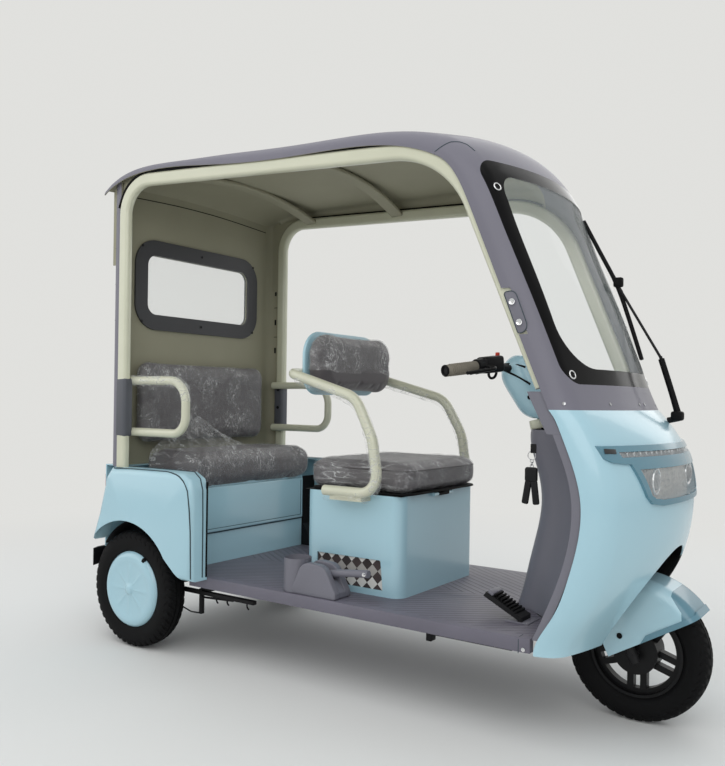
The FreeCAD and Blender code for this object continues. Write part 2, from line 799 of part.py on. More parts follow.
def roof_bow(x):
    """Cross bow between the side frames, arched under the roof."""
    depth = number("bow_depth")
    reach = frame_y(x) - frame_width / 2 - seat_gap
    low = number("rail_height") - number("rail_drop") * x
    crown_line = [(row_x, crown_z) for row_x, edge_z, crown_z in ROOF]
    crown = interpolate(crown_line, x) - wall - seat_gap - depth / 2
    middle = Part.Arc(V(x, -reach - 20, low - 4), V(x, 0, crown), V(x, reach + 20, low - 4)).toShape()
    section = rounded_rectangle(
        V(x, -reach - 20, low - 4), V(1, 0, 0), V(0, 0, 1), number("bow_width"), depth, 6
    )
    bar = Part.Wire([middle]).makePipeShell([section], True, False)
    for side in (1, -1):
        ends = [(x + dx, side * (frame_y(x + dx) - frame_width / 2 - seat_gap)) for dx in (-60, 60)]
        outside = [(x + 60, side * 600), (x - 60, side * 600)]
        bar = bar.cut(prism(ends + outside, "z", 1400, 1900))
    return bar.common(under_roof(seat_gap))


node(shaped("RoofBows", Part.makeCompound([roof_bow(x) for x in BOWS])), "roof_bows")


def solar_panel():
    """Flat-bonded panel that follows the roof's crown."""
    rear = number("panel_rear")
    length = number("panel_length")
    half = number("panel_width") / 2
    sheet = arched("panel", roof_table, number("panel_depth"), number("panel_depth"))
    footprint = Part.makeBox(length, 2 * half, 400, V(rear, -half, 1500))
    return sheet.common(footprint)


node(shaped("SolarPanel", solar_panel()), "solar_panel")

# ---------------------------------------------------------------- rear wall and window
wall_x = number("wall_x")
wall_half = number("wall_half")
wall_skin = number("wall_skin")
post_back = post_x - frame_depth / 2 - seat_gap


def wall_plan(inset):
    half = wall_half - inset
    back = wall_x + inset
    corner = number("wall_corner") - inset
    points = [V(post_back, -half, 0), V(back, -half, 0), V(back, half, 0), V(post_back, half, 0)]
    return rounded_path(points, (corner, corner))


def rear_wall():
    foot = number("wing_top")
    outer, inner = wall_plan(0), wall_plan(wall_skin)
    ends = [
        Part.LineSegment(V(post_back, side * wall_half, 0), V(post_back, side * (wall_half - wall_skin), 0)).toShape()
        for side in (1, -1)
    ]
    plan = Part.Face(Part.Wire(Part.__sortEdges__(outer.Edges + inner.Edges + ends)))
    upright = plan.extrude(V(0, 0, 1790 - foot))
    upright.translate(V(0, 0, foot))
    return upright.common(under_roof(seat_gap)).cut(window_prism(0))


def window_prism(margin):
    low, high = number("window_low") - margin, number("window_high") + margin
    half = number("window_half") + margin
    corner = number("window_round") + margin
    corners = [(-half, low), (half, low), (half, high), (-half, high)]
    outline = rounded_outline(corners, [corner] * 4, wall_x - 60)
    return Part.Face(outline).extrude(V(160, 0, 0))


def slab(low_x, high_x):
    return Part.makeBox(high_x - low_x, 1200, 2000, V(low_x, -600, 0))


node(shaped("RearWall", rear_wall()), "rear_wall")
border = number("window_border")
glass_wall = number("glass_wall")
ring_prism = window_prism(border).cut(window_prism(0))
inner_face = wall_x + number("wall_skin") + seat_gap
outer_ring = ring_prism.common(slab(wall_x - 8, wall_x))
inner_ring = ring_prism.common(slab(inner_face, inner_face + 8))
frame_ring = outer_ring.fuse(inner_ring)
node(shaped("RearWindowFrame", frame_ring), "rear_window_frame")
pane = window_prism(0).common(slab(wall_x + 1, wall_x + 1 + glass_wall))
node(shaped("RearWindowGlass", pane), "rear_window_glass")

# ---------------------------------------------------------------- rear fenders and wheel wells


def shrink(points, distance):
    """Outline moved inwards by a distance; its points run anticlockwise."""
    moved = []
    for k, (x, z) in enumerate(points):
        ax, az = points[k - 1]
        bx, bz = points[(k + 1) % len(points)]
        u = V(x - ax, 0, z - az).normalize()
        v = V(bx - x, 0, bz - z).normalize()
        n = V(-u.z, 0, u.x) + V(-v.z, 0, v.x)
        n = n * (distance * 2 / (n.Length ** 2))
        moved.append((x + n.x, z + n.z))
    return moved


def pillow(points, inner, outer, rounding, steps=3):
    """Prism across the vehicle whose outer face's edges are rounded."""
    side = 1 if outer > inner else -1
    rings = [(inner, 0)]
    for k in range(steps + 1):
        angle = math.pi / 2 * k / steps
        depth = outer - side * rounding * (1 - math.sin(angle))
        rings.append((depth, rounding * (1 - math.cos(angle))))
    wires = []
    for y, inset in rings:
        corners = [V(x, y, z) for x, z in shrink(points, inset)] if inset else [V(x, y, z) for x, z in points]
        wires.append(Part.makePolygon(corners + corners[:1]))
    return loft(wires, True)


wing_top = number("wing_top")
wing_front = number("wing_front")
wing_rear = number("wing_rear")
wing_foot = number("wing_foot")
wing_tail = number("wing_tail")

# Side outline of a rear fender, anticlockwise from its front foot
WING = (
    (wing_front, wing_foot),
    (wing_front, wing_top - 56),
    (wing_front - 14, wing_top - 20),
    (wing_front - 52, wing_top),
    (-80, wing_top),
    (-108, wing_top - 32),
    (-146, wing_top - 165),
    (wing_rear, wing_tail),
    (-60, wing_tail),
    (60, wing_foot),
)


def wing(side):
    inner, outer = number("wing_inner"), number("wing_outer")
    rounding = number("wing_round") / 2
    body = pillow(WING, side * inner, side * outer, rounding)
    hollow = pillow(shrink(WING, wall), side * (inner - 1), side * (outer - wall), rounding)
    arch = Part.makeCylinder(number("wing_arch"), 200, V(0, side * 300, number("rear_radius")), V(0, side, 0))
    slant = prism([(60, 200), (283, wing_foot - 1), (150, 386), (60, 400)], "y", *sorted((side * 300, side * 500)))
    return body.cut(hollow).cut(arch).cut(slant)


for side_name, side in SIDES:
    node(shaped("RearFender_" + side_name, wing(side)), "rear_fender_" + side_name)


def wheel_well(side):
    """Half round well over a rear wheel, closed towards the seat box."""
    liner = number("liner_wall")
    radius = number("wing_arch") - 4
    low = number("bench_half") + seat_gap
    high = number("wing_inner") - seat_gap
    centre = V(0, side * low, number("rear_radius"))
    drum = Part.makeCylinder(radius, high - low, centre, V(0, side, 0))
    inside = Part.makeCylinder(radius - liner, high - low, centre + V(0, side * liner, 0), V(0, side, 0))
    upper = Part.makeBox(900, 900, 900, V(wing_rear + wall + seat_gap, -450, wing_foot))
    return drum.cut(inside).common(upper)


node(shaped("WheelWells", Part.makeCompound([wheel_well(side) for name, side in SIDES])), "wheel_wells")

# ---------------------------------------------------------------- rear tub, seats
deck_back = centred_box(
    "TubBack", "wing_rear", "wing_tail", ("shell_wall", "2 * (wing_inner - seat_gap)", "wing_top - wing_tail")
)
deck_top = centred_box(
    "TubDeck", "wing_rear + shell_wall", "wing_top - shell_wall",
    ("bench_cushion_rear - wing_rear - shell_wall - 6", "2 * (wing_inner - seat_gap)", "shell_wall"),
)
node(fuse("RearTub", deck_back, deck_top), "rear_tub")

bench_low = "floor_top - floor_skin"
bench = centred_box(
    "BenchOuter", "-150", bench_low, ("bench_front + 150", "2 * bench_half", "bench_top - (%s)" % bench_low)
)
bench_void = centred_box(
    "BenchVoid", "-150 + box_wall", bench_low,
    ("bench_front + 150 - 2 * box_wall", "2 * (bench_half - box_wall)", "bench_top - box_wall - (%s)" % bench_low),
)
node(cut("BenchBox", bench, bench_void), "bench_box")

bench_cushion = centred_box(
    "BenchCushionBlock", "bench_cushion_rear", "bench_top + seat_gap",
    ("bench_cushion_front - bench_cushion_rear", "2 * bench_cushion_half", "bench_cushion_depth"),
)


def softened(name, block, radius):
    item = DOC.addObject("Part::Fillet", name)
    item.Base = block
    DOC.recompute()
    size = number(radius)
    item.Edges = [(k + 1, size, size) for k in range(len(block.Shape.Edges))]
    return item


node(softened("BenchCushion", bench_cushion, "26"), "bench_cushion")
backrest = centred_box(
    "BackrestBlock", "wall_x + wall_skin + seat_gap", "bench_top + bench_cushion_depth + 2 * seat_gap + 8",
    ("backrest_depth", "2 * backrest_half", "backrest_top - bench_top - bench_cushion_depth - 8"),
)
node(softened("RearBackrest", backrest, "26"), "rear_backrest")


def armrest(side):
    """Forward loop of tube beside a rear post."""
    radius = number("loop_radius")
    y = side * (frame_y(post_x + frame_depth / 2) - frame_width / 2 - seat_gap - radius)
    spots = ((post_x - 20, 943), (232, 943), (232, 760), (post_x - 20, 760))
    return tube([V(x, y, z) for x, z in spots], (78, 60), radius)


node(shaped("Armrests", Part.makeCompound([armrest(side) for name, side in SIDES])), "armrests")

# ---------------------------------------------------------------- driver's seat


def round_box(low_x, high_x, half, low, high, corner):
    centre = V((low_x + high_x) / 2, 0, low)
    outline = rounded_rectangle(centre, V(1, 0, 0), V(0, 1, 0), high_x - low_x, 2 * half, corner)
    return Part.Face(outline).extrude(V(0, 0, high - low))


driver_rear = number("driver_rear")
driver_front = number("driver_front")
driver_half = number("driver_half")
driver_top = number("driver_top")
driver_round = number("driver_round")
skin = number("box_wall")
driver_outer = round_box(driver_rear, driver_front, driver_half, floor_top, driver_top, driver_round)
driver_void = round_box(
    driver_rear + skin, driver_front - skin, driver_half - skin, floor_top - 1, driver_top + 1, driver_round - skin
)
# Opening low in the right-hand side, closed by cloth from inside
HATCH = ((684, 300), (940, 300), (930, 392), (684, 392))
hatch = prism(HATCH, "y", -driver_half - 10, -driver_half + skin + 2)
hinge = V(driver_front + number("hinge_reach"), 0, driver_top - number("hinge_drop"))
hinge_radius = number("hinge_radius")
hinge_half = number("hinge_half")
hinge_end = number("hinge_end")


def hinge_round(radius, low, high):
    """Round piece on the seat hinge's axis."""
    return Part.makeCylinder(radius, high - low, hinge + V(0, low, 0), V(0, 1, 0))


driver_box = driver_outer.cut(driver_void).cut(hatch).fuse(hinge_round(number("hinge_pin"), -hinge_end, hinge_end))
for low, high in ((-hinge_end, -hinge_half - seat_gap), (hinge_half + seat_gap, hinge_end)):
    lug_corner = V(driver_front - 1, low, hinge.z - hinge_radius + 1)
    lug = Part.makeBox(hinge.x - driver_front + 1, high - low, 2 * hinge_radius - 2, lug_corner)
    driver_box = driver_box.fuse(lug).fuse(hinge_round(hinge_radius, low, high))
node(shaped("DriverBox", driver_box), "driver_box")
cloth = prism(shrink(HATCH, -10), "y", -driver_half + skin + seat_gap, -driver_half + skin + seat_gap + 3)
node(shaped("HatchCloth", cloth), "hatch_cloth")

battery = centred_box(
    "BatteryBlock", "(driver_rear + driver_front - battery_length) / 2", "floor_top",
    ("battery_length", "battery_width", "battery_height"),
)
node(battery, "battery_pack")

board_low = driver_top + seat_gap
lid_depth = number("lid_depth")
board = Part.makeBox(
    driver_front - driver_rear, 2 * driver_half, lid_depth, V(driver_rear, -driver_half, board_low),
)
knuckle = hinge_round(hinge_radius, -hinge_half, hinge_half)
knuckle_strap = Part.makeBox(
    2 * hinge_radius, 2 * hinge_half, board_low + lid_depth / 2 - hinge.z,
    V(hinge.x - hinge_radius, -hinge_half, hinge.z),
)
knuckle_leaf = Part.makeBox(
    hinge.x + hinge_radius - driver_front + 4, 2 * hinge_half, lid_depth / 2,
    V(driver_front - 4, -hinge_half, board_low),
)
board = board.fuse([knuckle, knuckle_strap, knuckle_leaf])
board = board.cut(hinge_round(number("hinge_pin") + 0.3, -hinge_half, hinge_half))
node(shaped("SeatBoard", board.removeSplitter()), "driver_seat_board")
cushion = centred_box(
    "DriverCushionBlock", "driver_cushion_rear", "driver_top + 2 * seat_gap + lid_depth",
    ("driver_cushion_front - driver_cushion_rear", "2 * driver_cushion_half", "driver_cushion_depth"),
)
node(softened("DriverCushion", cushion, "26"), "driver_cushion")

arm_radius = number("arm_radius")
arm_half = number("arm_half")
headrest_x = number("headrest_x")
arm_cross = headrest_x - arm_radius - seat_gap
arm_rear_half = number("arm_rear_half")
arm_foot = driver_top + 8
# Arm tube's line on one side, from its foot: along, distance from the middle, height
ARM = (
    (745, arm_half, arm_foot),
    (952, arm_half, arm_foot),
    (925, arm_half, arm_foot + 168),
    (856, arm_half - 8, arm_foot + 293),
    (arm_cross, arm_rear_half, arm_foot + 372),
)
ARM_BENDS = (60, 150, 90, 30)


def arm_frame():
    """One tube: up each side of the seat as an armrest and across behind the backrest."""
    left = [V(x, y, z) for x, y, z in ARM]
    right = [V(x, -y, z) for x, y, z in ARM]
    bar = tube(right + left[::-1], ARM_BENDS + ARM_BENDS[::-1], arm_radius)
    for side in (1, -1):
        low, high = sorted((side * driver_half, side * (arm_half + 6)))
        bracket = Part.makeBox(120, high - low, 12, V(770, low, driver_top - 19))
        riser = Part.makeBox(76, 24, arm_foot - driver_top + 8, V(790, side * arm_half - 12, driver_top - 8))
        bar = bar.fuse([bracket, riser])
    return bar


node(shaped("ArmFrame", arm_frame()), "arm_frame")
headrest_shell = centred_box(
    "HeadrestShellBlock", "headrest_x", "headrest_low",
    ("headrest_shell", "2 * headrest_half - 36", "headrest_high - headrest_low"),
)
node(headrest_shell, "driver_backrest_shell")
headrest = centred_box(
    "HeadrestBlock", "headrest_x + headrest_shell + seat_gap", "headrest_low",
    ("headrest_depth - headrest_shell - seat_gap", "2 * headrest_half", "headrest_high - headrest_low"),
)
node(softened("DriverBackrest", headrest, "22"), "driver_backrest")

# ---------------------------------------------------------------- handbrake console and pedal
CUP = (676, -332)
# Width of the slot that the handbrake lever swings in
LEVER_SLOT = 26
cup_radius = number("cup_radius")
cup_wall = number("cup_wall")
cup_depth = number("cup_depth")
cup_top = floor_top + 108


def console():
    x, y = CUP
    mug = Part.makeCylinder(cup_radius + cup_wall, cup_top - floor_top, V(x, y, floor_top))
    outline = (
        (x + 20, floor_top), (858, floor_top), (858, floor_top + 14),
        (812, floor_top + 70), (776, floor_top + 100), (x + 20, floor_top + 76),
    )
    body = prism(outline, "y", y - 34, y + 34)
    bore = Part.makeCylinder(cup_radius, cup_depth, V(x, y, cup_top - cup_depth))
    slot = Part.makeBox(70, LEVER_SLOT, 60, V(768, y - LEVER_SLOT / 2, floor_top + 52))
    return mug.fuse(body).cut(bore).cut(slot)


node(shaped("Console", console()), "handbrake_console")


def handbrake_lever():
    """Bent bar on a pin that spans the console's slot."""
    y = CUP[1]
    pivot = V(778, y, floor_top + 63)
    reach = V(0, LEVER_SLOT / 2 - seat_gap, 0)
    lever = tube([pivot, V(860, y, floor_top + 84), V(948, y, floor_top + 86)], (60,), 9)
    return lever.fuse(bar(pivot - reach, pivot + reach, 7))


node(shaped("HandbrakeLever", handbrake_lever()), "handbrake_lever")


def pedal():
    """Rising plate with a pad, to the right of the wheel's bulge."""
    profile = ((1392, 0), (1404, 0), (1404, 15), (1296, 71), (1288, 59), (1392, 7))
    outline = [(x, floor_top + rise) for x, rise in profile]
    return prism(outline, "y", -256, -194)


node(shaped("BrakePedal", pedal()), "brake_pedal")

# ---------------------------------------------------------------- floor and chassis
# Radius round the steering axis that the floor and the chassis leave free
TURN_ROOM = 232


def turning_room():
    return Part.makeCylinder(TURN_ROOM, 700, hub - lean * 350, lean)


def down_tube(margin):
    """Tube that carries the head tube, from the front cross member up between shield and wheel."""
    crown = number("fork_height")
    spots = [V(1350, 0, 246), V(1374, 0, crown - 35), on_axis(crown + 85) + V(-22, 0, 6)]
    return tube(spots, (240,), number("down_radius") + margin)


def floor_board():
    """Ribless pan: a skin, and a beam down each side."""
    half = number("floor_half")
    rear = number("floor_rear")
    front = number("floor_front")
    skin_low = floor_top - number("floor_skin")
    bench_half = number("bench_half")
    start = number("bench_front") + seat_gap
    outline = (
        (start, -bench_half), (rear, -bench_half), (rear, -half), (front, -half),
        (front, half), (rear, half), (rear, bench_half), (start, bench_half),
    )
    pan = prism(outline, "z", skin_low, floor_top)
    skirt = number("floor_skirt")
    for side in (1, -1):
        low, high = sorted((side * half, side * (half - skirt)))
        bottom = number("floor_bottom")
        pan = pan.fuse(Part.makeBox(front - rear, high - low, skin_low - bottom, V(rear, low, bottom)))
    return pan.cut(turning_room()).cut(down_tube(seat_gap)).removeSplitter()


node(shaped("FloorBoard", floor_board()), "floor_board")

rail_top = "floor_top - floor_skin"
rails = [
    box(
        "Rail" + str(k), ("-212", "%s * rail_half - rail_width / 2" % side, "%s - rail_depth" % rail_top),
        ("1400 + 212", "rail_width", "rail_depth"),
    )
    for k, side in enumerate((1, -1))
]
# Cross members: x, half length
CROSSES = ((-190, 300), (290, 300), (760, 352), (1120, 352), (1340, 352))
crosses = [
    centred_box(
        "Cross" + str(k), str(x), "%s - cross_depth" % rail_top,
        ("cross_width", str(2 * half), "cross_depth"),
    )
    for k, (x, half) in enumerate(CROSSES)
]
head_low = on_axis(number("fork_height")) + lean * (number("crown_depth") / 2 + seat_gap)
head_tube = Part.makeCylinder(number("head_radius"), number("head_length"), head_low, lean)
head_bore = Part.makeCylinder(number("column_radius") + seat_gap, 400, head_low - lean * 100, lean)
neck = shaped("Neck", head_tube.fuse(down_tube(0)).cut(head_bore))
node(fuse("ChassisFrame", *(rails + crosses + [neck])), "chassis_frame")

# ---------------------------------------------------------------- rear axle
axle_z = "rear_radius"
axle_tube = cylinder("AxleTube", "y", ("0", "-axle_tube_end", axle_z), "axle_tube_radius", "2 * axle_tube_end")
gearbox = cylinder("Gearbox", "y", ("0", "-gearbox_width / 2", axle_z), "gearbox_radius", "gearbox_width")
drum_inner = "wheel_half - web_wall / 2 - drum_depth"
plate_reach = "(%s) - axle_tube_end - seat_gap" % drum_inner
plates = [
    cylinder("BackPlate0", "y", ("0", "axle_tube_end", axle_z), "drum_radius - 2", plate_reach),
    cylinder("BackPlate1", "y", ("0", "seat_gap - (%s)" % drum_inner, axle_z), "drum_radius - 2", plate_reach),
]
node(fuse("RearAxle", axle_tube, gearbox, *plates), "rear_axle")
motor_block = cylinder("MotorBlock", "x", ("gearbox_radius - 20", "0", axle_z), "motor_radius - 10", "motor_length")
gearbox_copy = cylinder("GearboxCopy", "y", ("0", "-gearbox_width / 2", axle_z), "gearbox_radius", "gearbox_width")
node(cut("DriveMotor", motor_block, gearbox_copy), "drive_motor")


def leaf_spring(side):
    """Two leaves on the axle, held under the cross members by blocks."""
    y = side * 250 - 25
    seat = number("rear_radius") + number("axle_tube_radius")
    short = Part.makeBox(300, 50, 7, V(-150, y, seat))
    main = Part.makeBox(520, 50, 7, V(-190, y, seat + 7))
    top = floor_top - number("floor_skin") - number("cross_depth")
    blocks = [Part.makeBox(40, 50, top - seat - 14, V(x, y, seat + 14)) for x in (-190, 290)]
    return short.fuse(main).fuse(blocks[0]).fuse(blocks[1])


node(shaped("LeafSprings", Part.makeCompound([leaf_spring(1), leaf_spring(-1)])), "leaf_springs")

# ---------------------------------------------------------------- rear end


def rear_bumper():
    rear = -number("rear_overhang")
    outline = (
        (rear, -300), (rear, 300), (rear + 16, 400), (rear + 34, 432), (-208, 432), (-222, 396),
        (-212, 296), (-212, -296), (-222, -396), (-208, -432), (rear + 34, -432), (rear + 16, -400),
    )
    return prism(outline[::-1], "z", 262, 326)


node(shaped("RearBumper", rear_bumper()), "rear_bumper")
LAMP_X = number("wing_rear")
lamps = [
    Part.makeBox(16, 74, 96, V(LAMP_X - 16, y, 500)) for y in (304, -378)
]
node(shaped("TailLamps", Part.makeCompound(lamps)), "tail_lamps")


def plate_holder():
    thickness = 4
    base = Part.makeBox(thickness, 200, 130, V(LAMP_X - thickness, -100, 430))
    for y in (-number("plate_spacing") / 2, number("plate_spacing") / 2):
        start = V(LAMP_X - thickness - 1, y, 535)
        base = base.cut(Part.makeCylinder(number("bolt_radius"), thickness + 2, start, V(1, 0, 0)))
    return base


node(shaped("PlateHolder", plate_holder()), "plate_holder")

# ---------------------------------------------------------------- wiper
WIPER_Y = 180


def wiper():
    pivot_base = V(1672, WIPER_Y, seam - 30)
    pivot_tip = V(1706, WIPER_Y, seam - 22)
    blade = ((1404, 1463), (1515, 1259), (1594, 1020))
    spots = [V(x, WIPER_Y, z) for x, z in blade]
    pieces = [bar(pivot_base, pivot_tip, 9), bar(pivot_tip - V(5, 0, 6), V(1648, WIPER_Y, seam + 162), 5)]
    pieces.append(bar(V(1650, WIPER_Y, seam + 156), V(1529, WIPER_Y, 1230), 4))
    pieces.append(bar(spots[0], spots[1], 5))
    pieces.append(bar(spots[1], spots[2], 5))
    pieces.append(Part.makeSphere(7, spots[1]))
    pieces.append(bar(V(1529, WIPER_Y, 1230), V(1510, WIPER_Y, 1262), 5))
    whole = pieces[0]
    for piece in pieces[1:]:
        whole = whole.fuse(piece)
    for table in (cowl_table, surround_table):
        whole = whole.cut(loft([arch_filled(row, -seat_gap, 10) for row in arch_rows(table)]))
    return whole


node(shaped("Wiper", wiper()), "wiper")

# ---------------------------------------------------------------- wheels


def plane_of(body, role):
    for feature in body.Origin.OriginFeatures:
        if feature.Role == role:
            return feature
    raise ValueError(role)


def revolved(name, points):
    """PartDesign body turned about +Y from a profile of (radius, place along the axle)."""
    body = DOC.addObject("PartDesign::Body", name)
    sketch = body.newObject("Sketcher::SketchObject", name + "Profile")
    sketch.AttachmentSupport = (plane_of(body, "XY_Plane"), [""])
    sketch.MapMode = "FlatFace"
    spots = [V(number(r), number(w), 0) for r, w in points]
    for a, b in zip(spots, spots[1:] + spots[:1]):
        sketch.addGeometry(Part.LineSegment(a, b))
    count = len(spots)
    for k in range(count):
        sketch.addConstraint(Sketcher.Constraint("Coincident", k, 2, (k + 1) % count, 1))
    for k, (radius, width) in enumerate(points):
        for kind, value, text in (("DistanceX", spots[k].x, radius), ("DistanceY", spots[k].y, width)):
            index = sketch.addConstraint(Sketcher.Constraint(kind, -1, 1, k, 1, value))
            sketch.setExpression("Constraints[%d]" % index, link(str(text)))
    turn = body.newObject("PartDesign::Revolution", name + "Turn")
    turn.Profile = sketch
    turn.ReferenceAxis = (sketch, ["V_Axis"])
    turn.Angle = 360
    return body


def tyre_profile(radius, width):
    """Carcass on the rim's bead seats, a rounded shoulder and a slightly crowned tread."""
    rows = (
        ("rim_radius", "rim_width / 2"),
        ("rim_radius + 10", "%s / 2 - 3" % width),
        ("%s - 36" % radius, "%s / 2" % width),
        ("%s - 16" % radius, "%s / 2 - 4" % width),
        ("%s - 5" % radius, "%s / 2 - 16" % width),
        (radius, "%s / 2 - 30" % width),
    )
    return rows + tuple((r, "-(%s)" % w) for r, w in reversed(rows))


WHEEL_PROFILE = (
    ("0", "-web_wall / 2 - drum_depth"),
    ("drum_radius", "-web_wall / 2 - drum_depth"),
    ("drum_radius", "-web_wall / 2"),
    ("rim_radius - rim_wall", "-web_wall / 2"),
    ("rim_radius - rim_wall", "-rim_width / 2"),
    ("rim_radius", "-rim_width / 2"),
    ("rim_radius", "rim_width / 2"),
    ("rim_radius - rim_wall", "rim_width / 2"),
    ("rim_radius - rim_wall", "web_wall / 2"),
    ("0", "web_wall / 2"),
)
COVER_EDGE = "rim_width / 2 + 9.5"
COVER_PROFILE = (
    ("0", COVER_EDGE + " + cover_crown - cover_wall"),
    ("0", COVER_EDGE + " + cover_crown"),
    ("36", COVER_EDGE + " + cover_crown"),
    ("108", COVER_EDGE + " + cover_crown - 4"),
    ("cover_radius", COVER_EDGE + " + cover_wall"),
    ("cover_radius", COVER_EDGE),
    ("rim_radius - 4", COVER_EDGE),
    ("rim_radius - 4", "rim_width / 2"),
    ("rim_radius - rim_wall", "rim_width / 2"),
    ("rim_radius - rim_wall", COVER_EDGE + " + 1"),
    ("100", COVER_EDGE + " + cover_crown - 4 - cover_wall"),
)
FLIP = {1: FreeCAD.Rotation(), -1: FreeCAD.Rotation(V(0, 0, 1), 180)}
for side_name, side in SIDES:
    for label, profile in (
        ("rear_tyre", tyre_profile("rear_radius", "rear_width")),
        ("rear_wheel", WHEEL_PROFILE),
        ("wheel_cover", COVER_PROFILE),
    ):
        item = revolved(label.title().replace("_", "") + side_name.title(), profile)
        item.Placement.Rotation = FLIP[side]
        place(item, "0", "%d * wheel_half" % side, "rear_radius")
        node(item, label + "_" + side_name)

item = revolved("FrontTyre", tyre_profile("front_radius", "front_width"))
place(item, "wheelbase", "0", "front_radius")
node(item, "front_tyre")


def front_wheel():
    """Rim, drum hub and pairs of spokes, bored for the axle."""
    width = number("rim_width")
    rim_radius = number("rim_radius")
    inner = rim_radius - number("rim_wall")
    hub_radius = number("front_hub_radius")
    hub_width = number("front_hub_width")
    along = V(0, 1, 0)
    ring = Part.makeCylinder(rim_radius, width, hub - along * (width / 2), along)
    ring = ring.cut(Part.makeCylinder(inner, width, hub - along * (width / 2), along))
    well_radius = inner - number("rim_well")
    depth = number("spoke_depth")
    well = Part.makeCylinder(inner + 3, depth, hub - along * (depth / 2), along)
    well = well.cut(Part.makeCylinder(well_radius, width, hub - along * (width / 2), along))
    middle = Part.makeCylinder(hub_radius, hub_width, hub - along * (hub_width / 2), along)
    count = int(number("spoke_count"))
    depth = number("spoke_depth")
    broad = number("spoke_width")
    gap = number("spoke_gap")
    spokes = []
    for k in range(count):
        for offset in (-gap / 2, gap / 2):
            length = inner + 3 - hub_radius + 8
            spoke = Part.makeBox(length, depth, broad, V(hub_radius - 8, -depth / 2, offset - broad / 2))
            spoke.rotate(V(0, 0, 0), along, 90 + 360 / count * k)
            spoke.translate(hub)
            spokes.append(spoke)
    wheel = middle.multiFuse([ring, well] + spokes)
    bore = number("front_axle_radius") + number("running_fit")
    wheel = wheel.cut(Part.makeCylinder(bore, hub_width, hub - along * (hub_width / 2), along))
    cap = Part.makeCylinder(rim_radius, 4 * width, hub - along * (2 * width), along)
    return wheel.common(cap)


node(shaped("FrontWheel", front_wheel()), "front_wheel")

# ---------------------------------------------------------------- steering


def fork():
    """Two legs with the axle, a crown over the fender and the column up to the handlebar."""
    reach = number("fork_half")
    radius = number("fork_leg_radius")
    along = V(0, 1, 0)
    across = V(math.cos(rake), 0, math.sin(rake))
    crown = on_axis(number("fork_height"))
    whole = Part.makeCylinder(number("front_axle_radius"), 2 * (reach + radius), hub - along * (reach + radius), along)
    for side in (1, -1):
        foot = hub + along * (side * reach) - lean * 24
        whole = whole.fuse(bar(foot, crown + along * (side * reach), radius))
        spacer = hub + along * (side * (number("front_hub_width") / 2 + seat_gap))
        spacer_end = hub + along * (side * (reach - radius + 4))
        whole = whole.fuse(bar(spacer, spacer_end, number("front_axle_radius") + 5))
    depth = number("crown_depth")
    length = number("crown_length")
    half = reach + radius + 3
    plate = Part.makeBox(length, 2 * half, depth, V(-length / 2, -half, -depth / 2))
    plate.rotate(V(0, 0, 0), along, -number("rake"))
    plate.translate(crown)
    column = bar(crown, on_axis(number("bar_height")), number("column_radius"))
    return whole.fuse(plate).fuse(column)


bar_radius = number("bar_radius")
bar_half = number("bar_half")
bar_middle = on_axis(number("bar_height"))
BAR = (
    bar_middle + V(-92, -bar_half, -14),
    bar_middle + V(-28, -178, 8),
    bar_middle + V(0, -64, 0),
)


def flipped(points):
    return [V(p.x, -p.y, p.z) for p in points]


fork_shape = fork()
bars = tube(list(BAR) + flipped(BAR)[::-1], (60, 60, 60, 60), bar_radius)
bars = bars.cut(fork_shape)
node(shaped("Fork", fork_shape), "fork")
node(shaped("Handlebar", bars), "handlebar")


def on_bars(start, length, radius):
    """Pair of sleeves round the handlebar's straight ends."""
    pieces = []
    for points in (BAR, flipped(BAR)):
        along = points[1].sub(points[0]).normalize()
        outer = bar(points[0] + along * start, points[0] + along * (start + length), radius)
        pieces.append(outer.cut(bar(points[0] - along * 20, points[1] + along * 20, bar_radius)))
    return Part.makeCompound(pieces)


grip_length = number("grip_length")
node(shaped("Grips", on_bars(0, grip_length, number("grip_radius"))), "grips")
switches = on_bars(grip_length + 1, 32, 22)
node(shaped("SwitchGear", switches), "switch_gear")


def brake_levers():
    pieces = []
    for side, points in ((-1, BAR), (1, flipped(BAR))):
        along = points[1].sub(points[0]).normalize()
        root = points[0] + along * (grip_length + 16) + V(22, 0, 0)
        path = [root, root + V(40, 0, -6), points[0] + along * 14 + V(58, 0, -8)]
        pieces.append(tube(path, (16,), 5).cut(switches))
    return Part.makeCompound(pieces)


node(shaped("BrakeLevers", brake_levers()), "brake_levers")

# Head cover, from its lower end up: height, rear x, front x, half width
HEAD = (
    (838, 1324, 1384, 38),
    (868, 1278, 1390, 62),
    (923, 1243, 1380, 82),
    (980, 1225, 1362, 88),
    (1012, 1242, 1342, 77),
    (1028, 1266, 1318, 50),
)

# Least gap between the leg shield's top and the head cover
HEAD_CLEARANCE = 24


def head_cover():
    rings = []
    low = HEAD[0][0]
    top = HEAD[-1][0]
    foot = max(low, shield_top + HEAD_CLEARANCE)
    for row_height, rear, front, half in HEAD:
        height = foot + (row_height - low) * (top - foot) / (top - low)
        length = (front - rear) / 2
        centre = V((front + rear) / 2, 0, height)
        major, minor = max(length, half), min(length, half)
        turned = V(1, 0, 0) if length >= half else V(0, 1, 0)
        other = V(0, 0, 1).cross(turned)
        ring = Part.Ellipse(centre + turned * major, centre + other * minor, centre)
        rings.append(Part.Wire([ring.toShape()]))
    cover = loft(rings)
    return cover.cut(bars).cut(fork_shape)


node(shaped("HeadCover", head_cover()), "head_cover")

# Side outline of the front fender: from the front tip down the skirt and back round the top
SKIRT = ((1848, 336), (1589, 184), (1560, 246), (1400, 246), (1400, 460), (1848, 460))
TRIM = ((1848, 336), (1676, 235), (1690, 260), (1812, 331), (1812, 460), (1848, 460))


